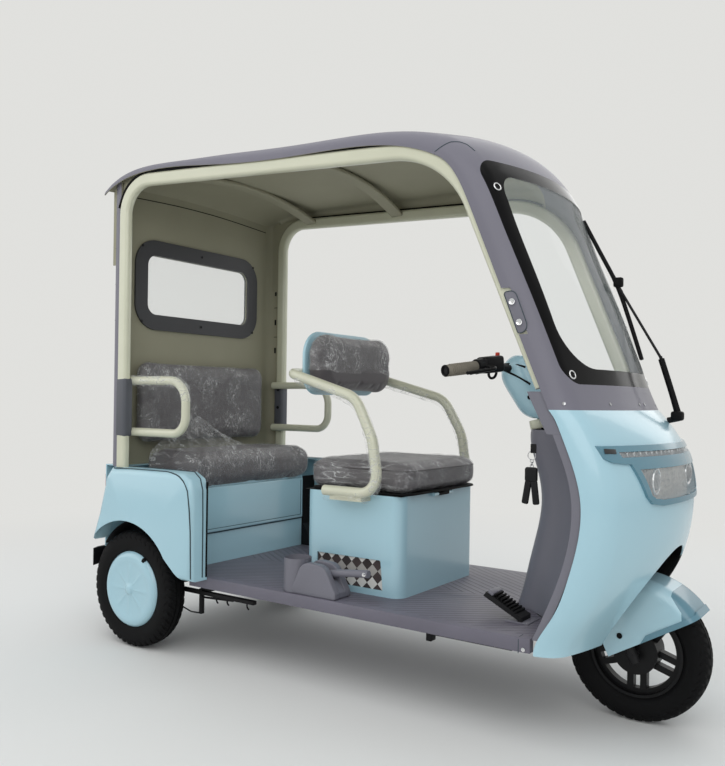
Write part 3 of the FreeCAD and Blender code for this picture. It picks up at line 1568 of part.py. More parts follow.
def drum(radius, half, rounding):
    """Solid drum round the front axle with rounded edges."""
    along = V(0, 1, 0)
    block = Part.makeCylinder(radius, 2 * half, hub - along * half, along)
    rims = [edge for edge in block.Edges if isinstance(edge.Curve, Part.Circle)]
    return block.makeFillet(rounding, rims)


fender_radius = number("fender_radius")
fender_half = number("fender_half")
fender_edge = number("fender_edge")
fender_wall = number("fender_wall")
fender_outer = drum(fender_radius, fender_half, fender_edge)
fender_inner = drum(fender_radius - fender_wall, fender_half - fender_wall, fender_edge - fender_wall)
legs = []
for side in (1, -1):
    shift = V(0, side * number("fork_half"), 0)
    legs.append(bar(hub + shift, on_axis(700) + shift, number("fork_leg_radius") + 0.3))
skirt = prism(SKIRT, "y", -fender_half - 20, fender_half + 20)
fender = fender_outer.cut(fender_inner).common(skirt).cut(legs[0]).cut(legs[1])
node(shaped("FrontFender", fender), "front_fender")
trim_wall = number("trim_wall")
trim_outer = drum(fender_radius + trim_wall, fender_half + trim_wall, fender_edge + trim_wall)
trim = trim_outer.cut(fender_outer).common(prism(TRIM, "y", -fender_half - 20, fender_half + 20))
node(shaped("FenderTrim", trim), "fender_trim")

# ---------------------------------------------------------------- checks and export
DOC.recompute()
for item in DOC.Objects:
    if "Invalid" in item.State or "Error" in item.State:
        raise RuntimeError("failed object: " + item.Label)
labels = [item.Label for item in NODES]
if len(set(labels)) != len(labels):
    raise RuntimeError("two pieces share a name")
for item in NODES:
    if item.Shape.isNull() or not item.Shape.isValid():
        raise RuntimeError("bad shape: " + item.Label)

os.makedirs("parts", exist_ok=True)
for item in NODES:
    item.Shape.exportStep(os.path.join("parts", item.Label + ".step"))
    low, high = item.Shape.BoundBox, item.Shape.BoundBox
    print(
        "%-24s solids %d  x %7.1f %7.1f  y %7.1f %7.1f  z %7.1f %7.1f"
        % (item.Label, len(item.Shape.Solids), low.XMin, low.XMax, low.YMin, low.YMax, low.ZMin, low.ZMax)
    )
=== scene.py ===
"""Dresses the three-wheeled solar rickshaw: moulded shells, film-wrapped seats, tyres and trim."""

import math

import bmesh
import bpy
from bpy.props import FloatProperty, FloatVectorProperty, IntProperty, PointerProperty
from mathutils import Matrix, Vector, noise
from mathutils.bvhtree import BVHTree


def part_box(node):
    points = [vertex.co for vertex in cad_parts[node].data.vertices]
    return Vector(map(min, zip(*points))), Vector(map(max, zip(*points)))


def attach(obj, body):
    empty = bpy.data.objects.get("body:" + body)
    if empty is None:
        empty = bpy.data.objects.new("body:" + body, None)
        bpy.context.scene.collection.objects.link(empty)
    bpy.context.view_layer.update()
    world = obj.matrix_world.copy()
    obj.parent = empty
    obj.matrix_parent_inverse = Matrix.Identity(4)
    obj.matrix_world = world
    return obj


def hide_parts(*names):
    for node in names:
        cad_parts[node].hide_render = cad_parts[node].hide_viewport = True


bl_info = {
    "name": "Solar Rickshaw Dresser",
    "version": (1, 0, 0),
    "blender": (4, 5, 0),
    "location": "3D View > Sidebar > Rickshaw",
    "description": "Builds the finish, seats and trim of a three-wheeled solar rickshaw",
    "category": "Object",
}

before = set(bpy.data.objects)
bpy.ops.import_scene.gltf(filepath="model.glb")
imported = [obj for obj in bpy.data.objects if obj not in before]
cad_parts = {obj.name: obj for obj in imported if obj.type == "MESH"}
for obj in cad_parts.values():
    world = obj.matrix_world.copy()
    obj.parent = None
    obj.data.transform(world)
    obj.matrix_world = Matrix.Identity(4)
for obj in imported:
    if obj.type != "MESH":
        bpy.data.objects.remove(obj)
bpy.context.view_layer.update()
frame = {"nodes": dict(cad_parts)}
NODES = frame["nodes"]

VEHICLE = "vehicle_body"
STEERING = "steering_assembly"
FRONT_WHEEL = "front_wheel_assembly"
LEFT_WHEEL = "left_wheel_assembly"
RIGHT_WHEEL = "right_wheel_assembly"
SEAT_LID = "driver_seat_lid"

SIDES = (1, -1)
FULL_TURN = 2 * math.pi
# Points closer than this are one
MERGE = 0.00002
# Places along the vehicle and heights in millimetres
REAR_AXLE = -798.5
FRONT_AXLE = 848.5
FRONT_HUB_HEIGHT = 195
REAR_HUB_HEIGHT = 205
COVER_SIDE = 423.5
FLOOR_TOP = 281
# Everything in the headlamp's lens over this height, in metres, belongs to the running light
LAMP_SPLIT = 0.735
PAPER = "#E9E9E6"
PAPER_GLOW = 0.92

# Where the floor's chevrons meet, and half the width of the ribbed field
FLOOR_RIDGE = -0.02
FLOOR_BORDER = 0.352

# ---------------------------------------------------------------- colours and materials


def linear(text, alpha=1.0):
    """Linear colour of an sRGB hex value."""
    parts = [int(text[k:k + 2], 16) / 255 for k in (1, 3, 5)]
    curve = [c / 12.92 if c <= 0.04045 else ((c + 0.055) / 1.055) ** 2.4 for c in parts]
    return (*curve, alpha)


def colour(text, name, description):
    """Colour that the panel shows."""
    return FloatVectorProperty(
        name=name, description=description, subtype="COLOR", size=4, min=0, max=1, default=linear(text)
    )


def length(default, low, name, description):
    """Length that the panel shows."""
    return FloatProperty(name=name, description=description, default=default, unit="LENGTH", min=low)


def angle(degrees, name, description):
    """Angle that the panel shows."""
    return FloatProperty(name=name, description=description, default=math.radians(degrees), subtype="ANGLE")


class RickshawColours(bpy.types.PropertyGroup):
    """Colours of the main finishes."""

    body: colour("#A9CEDA", "Body", "Light blue gel coat of the body")
    shell: colour("#77757F", "Shell", "Grey gel coat of the roof and the windshield surround")
    shield: colour("#74737C", "Shield", "Grey of the moulded leg shield and console")
    floor: colour("#6F6C78", "Floor", "Grey of the ribbed floor")
    frame: colour("#CFCFB8", "Frame", "Cream enamel of the tubes")
    # The liner's pale cream is drawn darker here, as painted shade of the cabin's inside under the roof
    liner: colour("#97947F", "Liner", "Pale inside of the roof and the rear wall")
    accent: colour("#5B8797", "Accent", "Teal of the lamp brow and the fender trim")
    vinyl: colour("#575355", "Vinyl", "Grey seat vinyl")


class RickshawSizes(bpy.types.PropertyGroup):
    """Sizes of what the finish adds."""

    rib_pitch: length(0.024, 0.002, "Rib pitch", "Spacing of the floor's ribs")
    vinyl_grain: length(0.003, 0.0005, "Vinyl grain", "Size of a grain in the vinyl")
    tread_pitches: IntProperty(
        name="Tread pitches", description="Blocks round a tyre", default=44, min=12, max=90
    )
    tread_depth: length(0.004, 0.001, "Tread depth", "Depth of the tyres' grooves")


class RickshawStudio(bpy.types.PropertyGroup):
    """Camera and light of the studio."""

    lens: FloatProperty(name="Lens", description="Focal length", default=38.46, unit="CAMERA", min=10)
    azimuth: angle(34.77, "Azimuth", "Camera's place round the vehicle")
    elevation: angle(-0.05, "Elevation", "Camera's height angle")
    roll: angle(0.84, "Roll", "Camera's roll")
    place: FloatVectorProperty(
        name="Place", description="Camera's place", default=(1.51743, -2.34722, 0.88719),
        subtype="TRANSLATION",
    )
    rise: FloatProperty(name="Rise", description="Upward shift of the camera's picture", default=0.0206)


def sockets(node, values):
    for key, value in values.items():
        node.inputs[key].default_value = value


def add_node(tree, kind, values=None, links=None, **attributes):
    """Adds a node with its attributes, its sockets' values and its links from other sockets."""
    node = tree.nodes.new(kind)
    for key, value in attributes.items():
        setattr(node, key, value)
    sockets(node, values or {})
    for key, source in (links or {}).items():
        tree.links.new(source, node.inputs[key])
    return node


def new_material(name, values):
    """Material with one Principled shader, returned with its tree and its shader."""
    made = bpy.data.materials.new(name)
    made.use_nodes = True
    tree = made.node_tree
    shader = tree.nodes["Principled BSDF"]
    sockets(shader, values)
    return made, tree, shader


def place_of(tree, scale=(1, 1, 1), turn=(0, 0, 0)):
    """Object coordinates, scaled and turned."""
    where = add_node(tree, "ShaderNodeTexCoord").outputs["Object"]
    values = {"Scale": scale, "Rotation": turn}
    return add_node(tree, "ShaderNodeMapping", values, {"Vector": where}).outputs["Vector"]


def maths(tree, operation, *terms):
    """Result of a sum whose terms are numbers or other nodes' sockets."""
    links = {k: term for k, term in enumerate(terms) if hasattr(term, "node")}
    values = {k: term for k, term in enumerate(terms) if k not in links}
    return add_node(tree, "ShaderNodeMath", values, links, operation=operation).outputs["Value"]


def ranged(tree, source, low, high, start=0.0, end=1.0, **attributes):
    """Maps a socket's values from one range to another."""
    values = {"From Min": low, "From Max": high, "To Min": start, "To Max": end}
    return add_node(tree, "ShaderNodeMapRange", values, {"Value": source}, **attributes).outputs["Result"]


def cloudy(tree, where, scale, detail=2.0, **values):
    """Mask of a noise texture."""
    values.update(Scale=scale, Detail=detail)
    return add_node(tree, "ShaderNodeTexNoise", values, {"Vector": where}).outputs["Fac"]


def bumped(tree, shader, height, strength, distance):
    """Relief that follows a mask."""
    values = {"Strength": strength, "Distance": distance}
    bump = add_node(tree, "ShaderNodeBump", values, {"Height": height})
    tree.links.new(bump.outputs["Normal"], shader.inputs["Normal"])


def tinted(tree, shader, mask, dark, light):
    """Base colour that drifts between two shades with a mask."""
    ramp = add_node(tree, "ShaderNodeMix", {"A": dark, "B": light}, {"Factor": mask}, data_type="RGBA")
    tree.links.new(ramp.outputs["Result"], shader.inputs["Base Color"])


def shade(value, share):
    return (*[min(1.0, c * share) for c in value[:3]], 1.0)


def coated(name, value, values, drift, shares, grain, relief, texture="ShaderNodeTexNoise", **attributes):
    """Colour that drifts between two shares of a value, over the relief of a fine texture.

    drift is the scale and detail of the drift, relief the strength and depth of the grain.
    """
    made, tree, shader = new_material(name, values)
    where = place_of(tree)
    tinted(tree, shader, cloudy(tree, where, *drift), shade(value, shares[0]), shade(value, shares[1]))
    grains = add_node(tree, texture, grain, {"Vector": where}, **attributes)
    bumped(tree, shader, grains.outputs[0], *relief)
    return made


def gel_coat(name, value, rough=0.24, coat=0.4, gloss=0.5):
    """Glass fibre with a polished gel coat: deep gloss over a faint ripple of the mould."""
    values = {"Roughness": rough, "IOR": 1.5, "Specular IOR Level": gloss, "Coat Weight": coat,
              "Coat Roughness": 0.08}
    return coated(name, value, values, (2.2, 2.0), (0.94, 1.05), {"Scale": 26.0, "Detail": 1.0},
                  (0.05, 0.004))


def moulded(name, value, rough=0.5, grain=0.0012, gloss=0.4):
    """Injection moulded polypropylene: low gloss with a fine spark-eroded grain.

    The real grain is finer than this; it is drawn as coarse as it needs to show.
    """
    values = {"Roughness": rough, "IOR": 1.49, "Specular IOR Level": gloss}
    return coated(name, value, values, (5.0, 4.0), (0.9, 1.08), {"Scale": 1 / grain}, (0.12, 0.0004),
                  "ShaderNodeTexVoronoi")


def enamel(name, value, rough=0.28):
    """Stoved enamel on steel tube: glossy, with orange peel about 2 mm across."""
    values = {"Roughness": rough, "IOR": 1.5, "Coat Weight": 0.4, "Coat Roughness": 0.1}
    return coated(name, value, values, (9.0, 3.0), (0.93, 1.04), {"Scale": 420.0}, (0.06, 0.0005))


def powder_coat(name, value, rough=0.55):
    """Black powder coat on chassis steel: satin, slightly pebbled, lighter with dust in random patches."""
    values = {"Roughness": rough, "Specular IOR Level": 0.2}
    return coated(name, value, values, (14.0, 5.0), (1.0, 2.2), {"Scale": 700.0}, (0.2, 0.0004))


def tread_rubber(name, value):
    """Carbon black tyre rubber: dull, with a grey bloom."""
    values = {"Roughness": 0.68, "IOR": 1.52, "Specular IOR Level": 0.14}
    return coated(name, value, values, (18.0, 5.0), (0.8, 1.9), {"Scale": 520.0}, (0.25, 0.0005))


def seat_vinyl(name, value, grain):
    """Calendered PVC seat cover: leathery grain of rounded cells, soft sheen on the crests."""
    values = {"Roughness": 0.46, "IOR": 1.5, "Sheen Weight": 0.08, "Specular IOR Level": 0.3}
    return coated(name, value, values, (7.0, 4.0), (0.86, 1.12), {"Scale": 1 / grain, "Smoothness": 0.6},
                  (0.35, 0.0008), "ShaderNodeTexVoronoi", feature="SMOOTH_F1")


def polished(name, value, rough):
    """Plated or turned metal: a bright mirror with faint marks of wear."""
    values = {"Metallic": 1.0, "Roughness": rough}
    return coated(name, value, values, (60.0, 3.0), (0.85, 1.0), {"Scale": 60.0, "Detail": 3.0},
                  (0.04, 0.0005))


def packing_film(name):
    """Stretched polythene film: nearly clear, glossy, gathered in fine wrinkles, with painted highlights
    along them.
    """
    made, tree, shader = new_material(
        name, {"Base Color": linear("#F1F2F1"), "Roughness": 0.14, "IOR": 1.5, "Specular IOR Level": 0.8}
    )
    where = place_of(tree, (7, 58, 30), (0.5, 0.3, 0.9))
    wrinkle = cloudy(tree, where, 1.3, 4.0, Roughness=0.5, Distortion=0.35)
    bumped(tree, shader, wrinkle, 1.0, 0.014)
    # Painted highlights: the white film turns more opaque in a thin line where the wrinkle noise crosses
    # its middle value, standing in for the glint along each wrinkle
    away = maths(tree, "ABSOLUTE", maths(tree, "SUBTRACT", wrinkle, 0.5))
    line = ranged(tree, away, 0.0, 0.03, 0.6, 0.13)
    patches = ranged(tree, cloudy(tree, place_of(tree), 9.0), 0.38, 0.62, 0.35, 1.0)
    tree.links.new(maths(tree, "MULTIPLY", line, patches), shader.inputs["Alpha"])
    return made


def clear_pane(name, tint="#DCE6E4", alpha=0.12):
    """Polycarbonate or glass pane: clear with a faint tint and a sharp reflection."""
    made, tree, shader = new_material(
        name, {"Base Color": linear(tint), "Roughness": 0.03, "IOR": 1.5, "Alpha": alpha}
    )
    bumped(tree, shader, cloudy(tree, place_of(tree), 6.0, 3.0), 0.02, 0.002)
    return made


def ceramic_black(name):
    """Ceramic frit fired on the back of the glass: dense black with only a weak, sharp reflection."""
    made, tree, shader = new_material(name, {"Roughness": 0.16, "IOR": 1.5, "Specular IOR Level": 0.1})
    tinted(tree, shader, cloudy(tree, place_of(tree), 30.0, 3.0), linear("#070708"), linear("#101012"))
    return made


def faceted(name):
    """Vacuum metallised reflector, smoked: small facets about 14 mm across, dark to pale."""
    made, tree, shader = new_material(name, {"Metallic": 1.0, "Roughness": 0.22})
    cells = add_node(tree, "ShaderNodeTexVoronoi", {"Scale": 70.0}, {"Vector": place_of(tree, (0.4, 1, 1))})
    tinted(tree, shader, cells.outputs["Distance"], linear("#3F3C37"), linear("#A29C90"))
    bumped(tree, shader, cells.outputs["Distance"], 0.8, 0.004)
    return made


def ribbed_floor(name, value, pitch):
    """Moulded anti-slip floor: slanting ribs that meet in a chevron, with a plain border; the ribs are
    drawn darker as painted shade.
    """
    made, tree, shader = new_material(name, {"Roughness": 0.45, "IOR": 1.49})
    coordinates = add_node(tree, "ShaderNodeTexCoord").outputs
    split = add_node(tree, "ShaderNodeSeparateXYZ", links={"Vector": coordinates["Object"]}).outputs
    away = maths(tree, "ABSOLUTE", maths(tree, "SUBTRACT", split["Y"], FLOOR_RIDGE))
    # The ribs run at about 35 degrees to the length of the vehicle
    lengthwise, sideways = maths(tree, "MULTIPLY", split["X"], 0.57), maths(tree, "MULTIPLY", away, 0.82)
    place = maths(tree, "ADD", lengthwise, sideways)
    wave = maths(tree, "SINE", maths(tree, "MULTIPLY", place, FULL_TURN / pitch))
    facing = add_node(tree, "ShaderNodeSeparateXYZ", links={"Vector": coordinates["Normal"]}).outputs["Z"]
    inside = maths(tree, "LESS_THAN", maths(tree, "ABSOLUTE", split["Y"]), FLOOR_BORDER)
    field = maths(tree, "MULTIPLY", maths(tree, "GREATER_THAN", facing, 0.9), inside)
    ribs = maths(tree, "MULTIPLY", ranged(tree, wave, 0.25, 0.8), field)
    drift = cloudy(tree, coordinates["Object"], 6.0, 5.0)
    # Painted shade: the ribs are drawn darker than the field between them so that the relief shows, over a
    # random drift in tone
    rib_shade_and_drift = maths(tree, "SUBTRACT", drift, maths(tree, "MULTIPLY", ribs, 0.75))
    tinted(tree, shader, rib_shade_and_drift, shade(value, 0.7), shade(value, 1.12))
    bumped(tree, shader, ribs, 0.9, 0.002)
    return made


def checked_cloth(name):
    """Woven gingham: diagonal bands of dark and pale yarn about 28 mm wide."""
    made, tree, shader = new_material(name, {"Roughness": 0.9, "Sheen Weight": 0.3})
    where = place_of(tree, turn=(0, math.radians(45), 0))
    bands = []
    for dark, pale, width in (("#3A2E2E", "#D9D8D3", 0.028), ("#6E625E", "#FFFFFF", 0.056)):
        values = {"Color1": linear(dark), "Color2": linear(pale), "Scale": 1 / width}
        bands.append(add_node(tree, "ShaderNodeTexChecker", values, {"Vector": where}).outputs["Color"])
    both = add_node(tree, "ShaderNodeMix", {"Factor": 0.55}, {"A": bands[0], "B": bands[1]},
                    data_type="RGBA", blend_type="MULTIPLY")
    tree.links.new(both.outputs["Result"], shader.inputs["Base Color"])
    bumped(tree, shader, cloudy(tree, where, 900.0), 0.4, 0.0005)
    return made


def solar_glass(name):
    """Laminated photovoltaic sheet: blue-black cells 156 mm square under glass, silver busbars."""
    cell, busbars = 0.156, 3
    made, tree, shader = new_material(name, {"Roughness": 0.12, "Coat Weight": 1.0, "Coat Roughness": 0.03})
    where = add_node(tree, "ShaderNodeTexCoord").outputs["Object"]
    values = {"Color1": linear("#0C1426"), "Color2": linear("#101B33"), "Mortar": linear("#AEB4BB"),
              "Scale": 1.0, "Mortar Size": 0.0016, "Brick Width": cell, "Row Height": cell}
    bricks = add_node(tree, "ShaderNodeTexBrick", values, {"Vector": where}, offset=0.0)
    split = add_node(tree, "ShaderNodeSeparateXYZ", links={"Vector": where})
    turns = maths(tree, "MULTIPLY", split.outputs["Y"], FULL_TURN * busbars / cell)
    bar = ranged(tree, maths(tree, "COSINE", turns), 0.985, 0.995)
    mixed = add_node(tree, "ShaderNodeMix", {"B": linear("#8D939A")},
                     {"Factor": bar, "A": bricks.outputs["Color"]}, data_type="RGBA")
    tree.links.new(mixed.outputs["Result"], shader.inputs["Base Color"])
    return made


MATERIALS = {}


def make_materials():
    """Each finish by name, as its kind of material with its colour and its kind's own arguments."""
    hues = bpy.context.scene.rickshaw_colours
    sizes = bpy.context.scene.rickshaw_sizes
    MATERIALS.update({
        "body": gel_coat("Gel coat light blue", hues.body),
        "shell": gel_coat("Gel coat warm grey", hues.shell, 0.45, 0.12, 0.2),
        "shield": moulded("Moulded polypropylene grey", hues.shield, 0.42),
        # The liner's colour carries painted shade of the cabin's inside
        "liner": moulded("Sprayed fibre liner in painted shade", hues.liner, 0.7, 0.004),
        "black_plastic": moulded("Moulded ABS black", linear("#141416"), 0.42, 0.0012, 0.2),
        "window_frame": moulded("Moulded ABS charcoal", linear("#3B3B3E"), 0.45),
        "red_lens": gel_coat("Acrylic red", linear("#8E1512"), 0.15),
        "button_red": moulded("Moulded button red", linear("#D8402A"), 0.35),
        "frame": enamel("Stoved enamel cream", hues.frame),
        "accent": gel_coat("Gel coat teal", hues.accent, 0.22),
        "chassis": powder_coat("Powder coat black", linear("#151516")),
        "motor": powder_coat("Cast aluminium painted grey", linear("#4A4B4D"), 0.5),
        "spring": polished("Oiled spring steel", linear("#3B3A39"), 0.45),
        "tyre": tread_rubber("Tyre rubber", linear("#070708")),
        "seal": tread_rubber("EPDM seal rubber", linear("#0B0B0C")),
        "grip": tread_rubber("Thermoplastic grip grey", linear("#6F6A60")),
        "alloy": powder_coat("Die-cast alloy black", linear("#0C0C0D"), 0.42),
        "vinyl": seat_vinyl("PVC seat vinyl grey", hues.vinyl, sizes.vinyl_grain),
        "film": packing_film("Polythene packing film"),
        "pane": clear_pane("Windshield acrylic clear"),
        "lens": clear_pane("Lamp lens polycarbonate", "#EEF3F4", 0.2),
        "frit": ceramic_black("Glass black frit"),
        # Dark grey of the panel joints, also used for the painted shade in grooves and round recesses
        "joint": moulded("Joint shadow grey", linear("#39474D"), 0.8),
        "sleeve": moulded("Moulded sleeve grey", linear("#55575D"), 0.45),
        "lens_dark": gel_coat("Projector glass dark", linear("#15181B"), 0.06),
        "reflector": faceted("Metallised reflector smoked"),
        "chrome": polished("Chrome plate", linear("#E6E7E8"), 0.08),
        "steel": polished("Zinc plated steel", linear("#B7B8BA"), 0.3),
        "floor": ribbed_floor("Ribbed floor moulding", hues.floor, sizes.rib_pitch),
        "checks": checked_cloth("Gingham cotton"),
        "solar": solar_glass("Photovoltaic laminate"),
    })


# ---------------------------------------------------------------- modelling helpers


def clear_selection():
    if bpy.context.object and bpy.context.object.mode != "OBJECT":
        bpy.ops.object.mode_set(mode="OBJECT")
    bpy.ops.object.select_all(action="DESELECT")


def activate(piece):
    clear_selection()
    piece.hide_viewport = False
    piece.select_set(True)
    bpy.context.view_layer.objects.active = piece


def edit(piece, choice="SELECT"):
    """Enters edit mode with everything or nothing selected."""
    activate(piece)
    bpy.ops.object.mode_set(mode="EDIT")
    bpy.ops.mesh.select_all(action=choice)


def leave_edit():
    bpy.ops.object.mode_set(mode="OBJECT")


def new_piece(data):
    """Object for a mesh or a curve."""
    piece = bpy.data.objects.new(data.name, data)
    bpy.context.scene.collection.objects.link(piece)
    return piece


def twin_of(piece):
    """Second piece with its own copy of the mesh."""
    return new_piece(piece.data.copy())


def finished(piece, name, finish, body, smooth=35.0, replaces=()):
    """Names a piece, settles its place into its mesh, paints it and lets it ride on a body."""
    activate(piece)
    piece.name = name
    piece.data.name = name
    bpy.ops.object.transform_apply(location=True, rotation=True, scale=True)
    if smooth:
        bpy.ops.object.shade_smooth_by_angle(angle=math.radians(smooth))
    piece.data.materials.clear()
    piece.data.materials.append(MATERIALS[finish])
    if replaces:
        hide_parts(*replaces)
    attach(piece, body)
    return piece


def modify(piece, kind, **values):
    """Adds a modifier with its settings and applies it."""
    activate(piece)
    bpy.ops.object.modifier_add(type=kind)
    modifier = piece.modifiers[-1]
    for key, value in values.items():
        setattr(modifier, key, value)
    bpy.ops.object.modifier_apply(modifier=modifier.name)
    return piece


def softened(piece, width, segments=2, sharp=40.0):
    """Rounds the sharp edges."""
    return modify(
        piece, "BEVEL", width=width, segments=segments, limit_method="ANGLE",
        angle_limit=math.radians(sharp), use_clamp_overlap=True, harden_normals=False,
    )


def cube(centre, size):
    clear_selection()
    bpy.ops.mesh.primitive_cube_add(size=1, location=centre)
    piece = bpy.context.object
    piece.scale = size
    bpy.ops.object.transform_apply(location=True, rotation=True, scale=True)
    return piece


def rod(start, end, radius, sides=24):
    """Round bar from one point to another."""
    a, b = Vector(start), Vector(end)
    clear_selection()
    bpy.ops.mesh.primitive_cylinder_add(
        vertices=sides, radius=radius, depth=(b - a).length, location=(a + b) / 2
    )
    piece = bpy.context.object
    piece.rotation_mode = "QUATERNION"
    piece.rotation_quaternion = (b - a).to_track_quat("Z", "Y")
    bpy.ops.object.transform_apply(location=True, rotation=True, scale=True)
    return piece


def joined(pieces):
    """One object from several."""
    clear_selection()
    for piece in pieces:
        piece.select_set(True)
    bpy.context.view_layer.objects.active = pieces[0]
    bpy.ops.object.join()
    return pieces[0]


def group(name, pieces, finish, body, slot, smooth=35.0, replaces=()):
    """Joins pieces into one and finishes it."""
    return finished(joined(pieces), name, finish, body, smooth, replaces)


def pair(name, piece, *finish):
    """Finishes a piece together with its mirror image on the other side."""
    return group(name, [piece, mirrored_copy(piece)], *finish)


def node_copy(node):
    """Own object with a copy of a node's mesh, its loose triangles merged."""
    piece = twin_of(NODES[node])
    edit(piece)
    bpy.ops.mesh.remove_doubles(threshold=MERGE)
    bpy.ops.mesh.customdata_custom_splitnormals_clear()
    leave_edit()
    return piece


def box_of(node):
    """Lower and upper corner of a node's box."""
    low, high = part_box(node)
    return Vector(low), Vector(high)


def pick_faces(piece, test):
    """Selects the faces whose centre and normal pass a test, and enters edit mode."""
    edit(piece, "DESELECT")
    bpy.ops.mesh.select_mode(type="FACE")
    leave_edit()
    for face in piece.data.polygons:
        face.select = test(face.center, face.normal)
    bpy.ops.object.mode_set(mode="EDIT")


def drop_faces(piece, test):
    """Deletes the faces whose centre and normal pass a test."""
    pick_faces(piece, test)
    bpy.ops.mesh.delete(type="FACE")
    leave_edit()


def sink_top(piece, rim, depth):
    """Presses the top of a piece down inside a rim."""
    pick_faces(piece, lambda centre, normal: normal.z > 0.9)
    bpy.ops.mesh.inset(thickness=rim)
    bpy.ops.transform.translate(value=(0, 0, -depth))
    leave_edit()


def repaint(piece, finish, test):
    """Gives the faces whose centre and normal pass a test a second material."""
    piece.data.materials.append(MATERIALS[finish])
    pick_faces(piece, test)
    piece.active_material_index = len(piece.data.materials) - 1
    bpy.ops.object.material_slot_assign()
    leave_edit()


def spot(x, y, z):
    """Point from millimetres in the vehicle's frame."""
    return Vector((x, y, z)) / 1000


def path(*places):
    """Points from millimetres in the vehicle's frame."""
    return [spot(*place) for place in places]


def divided(knots, parts):
    """Line of points with every stretch cut into equal parts."""
    fine = [a.lerp(b, k / parts) for a, b in zip(knots, knots[1:]) for k in range(parts)]
    return fine + knots[-1:]


def pipe(points, radius, smooth=True, closed=False, sides=3):
    """Round tube along a line of points, closed at both ends."""
    clear_selection()
    curve = bpy.data.curves.new("pipe", "CURVE")
    curve.dimensions = "3D"
    curve.bevel_depth = radius
    curve.bevel_resolution = sides
    curve.resolution_u = 6
    curve.use_fill_caps = True
    line = curve.splines.new("NURBS" if smooth else "POLY")
    line.points.add(len(points) - 1)
    for knot, place in zip(line.points, points):
        knot.co = (*place, 1)
    line.use_cyclic_u = closed
    if smooth:
        line.use_endpoint_u = not closed
        line.order_u = 3
    activate(new_piece(curve))
    bpy.ops.object.convert(target="MESH")
    return tidy_mesh(bpy.context.object)


def tidy_mesh(piece):
    """Merges doubles and turns the faces outwards."""
    edit(piece)
    bpy.ops.mesh.remove_doubles(threshold=MERGE)
    bpy.ops.mesh.normals_make_consistent(inside=False)
    leave_edit()
    return piece


def arc(centre, radius, start, end, y, steps=10):
    """Points of an arc in the vertical plane at y, angles in degrees from +X towards +Z."""
    turns = [math.radians(start + (end - start) * k / steps) for k in range(steps + 1)]
    return [spot(centre[0] + radius * math.cos(a), y, centre[1] + radius * math.sin(a)) for a in turns]


TREES = {}


def search_tree(mesh):
    """Search tree of a mesh's faces."""
    corners = [vertex.co for vertex in mesh.vertices]
    return BVHTree.FromPolygons(corners, [tuple(face.vertices) for face in mesh.polygons])


def tree_of(node):
    """Search tree of a node's faces, made once."""
    if node not in TREES:
        TREES[node] = search_tree(NODES[node].data)
    return TREES[node]


def surface(node, start, aim):
    """Where a line from start towards aim meets a node, and the normal there."""
    place, normal, index, distance = tree_of(node).ray_cast(start, (aim - start).normalized())
    if place is None:
        raise RuntimeError("no surface of " + node + " there")
    return place, normal


def nearest(node, place):
    """Closest place on a node, and the normal there."""
    found, normal, index, distance = tree_of(node).find_nearest(place)
    return found, normal


def faced(axis, place):
    """Turn and move that stands a piece modelled along Z on a place, along an axis."""
    return Matrix.Translation(Vector(place)) @ Vector(axis).to_track_quat("Z", "Y").to_matrix().to_4x4()


def seated(piece, place, *directions):
    """Moves a piece modelled at the origin to a place, its X, Y and Z along three directions."""
    piece.data.transform(Matrix.Translation(Vector(place)) @ Matrix(directions).transposed().to_4x4())
    return piece


def bolt_head(radius, height):
    """Round head with a socket, standing on the origin along Z."""
    socket, depth, edge = 0.45, 0.6, 0.14
    clear_selection()
    bpy.ops.mesh.primitive_cylinder_add(
        vertices=20, radius=radius, depth=height, location=(0, 0, height / 2)
    )
    piece = bpy.context.object
    bpy.ops.object.transform_apply(location=True, rotation=True, scale=True)
    sink_top(piece, radius * (1 - socket), height * depth)
    return softened(piece, radius * edge)


def bolts(name, places, radius, height, finish, body, slot):
    """Row of bolt heads, each on a place and along a normal."""
    head = bolt_head(radius, height)
    heads = []
    for place, normal in places:
        heads.append(twin_of(head))
        heads[-1].data.transform(faced(normal, place))
    bpy.data.objects.remove(head)
    return group(name, heads, finish, body, slot)


def both_sides(places):
    """Places and normals, with their mirror images in the middle plane."""
    twins = [(Vector((p[0], -p[1], p[2])), Vector((n[0], -n[1], n[2]))) for p, n in places]
    return list(places) + twins


def slab(low, high, edge, segments=2):
    """Block between two corners with rounded edges."""
    low, high = Vector(low), Vector(high)
    return softened(cube((low + high) / 2, high - low), edge, segments, 30)


def rectangle(low, high, axes=(0, 1), inset=0.0):
    """Corners of a rectangle between two corners, on two of their axes."""
    u, v = axes
    left, base = low[u] + inset, low[v] + inset
    right, top = high[u] - inset, high[v] - inset
    return (left, base), (right, base), (right, top), (left, top)


def rounded_outline(corners, radii, steps=8):
    """Points of a closed flat outline with rounded corners."""
    points = []
    corners = [Vector(corner) for corner in corners]
    for k, here in enumerate(corners):
        back = (corners[k - 1] - here).normalized()
        ahead = (corners[(k + 1) % len(corners)] - here).normalized()
        half = back.angle(ahead) / 2
        reach = radii[k] / math.tan(half)
        centre = here + (back + ahead).normalized() * radii[k] / math.sin(half)
        start, end = here + back * reach - centre, here + ahead * reach - centre
        sweep = start.angle(end)
        for step in range(steps + 1):
            a, b = math.sin(sweep * (1 - step / steps)), math.sin(sweep * step / steps)
            points.append(tuple(centre + (start * a + end * b) / math.sin(sweep)))
    return points


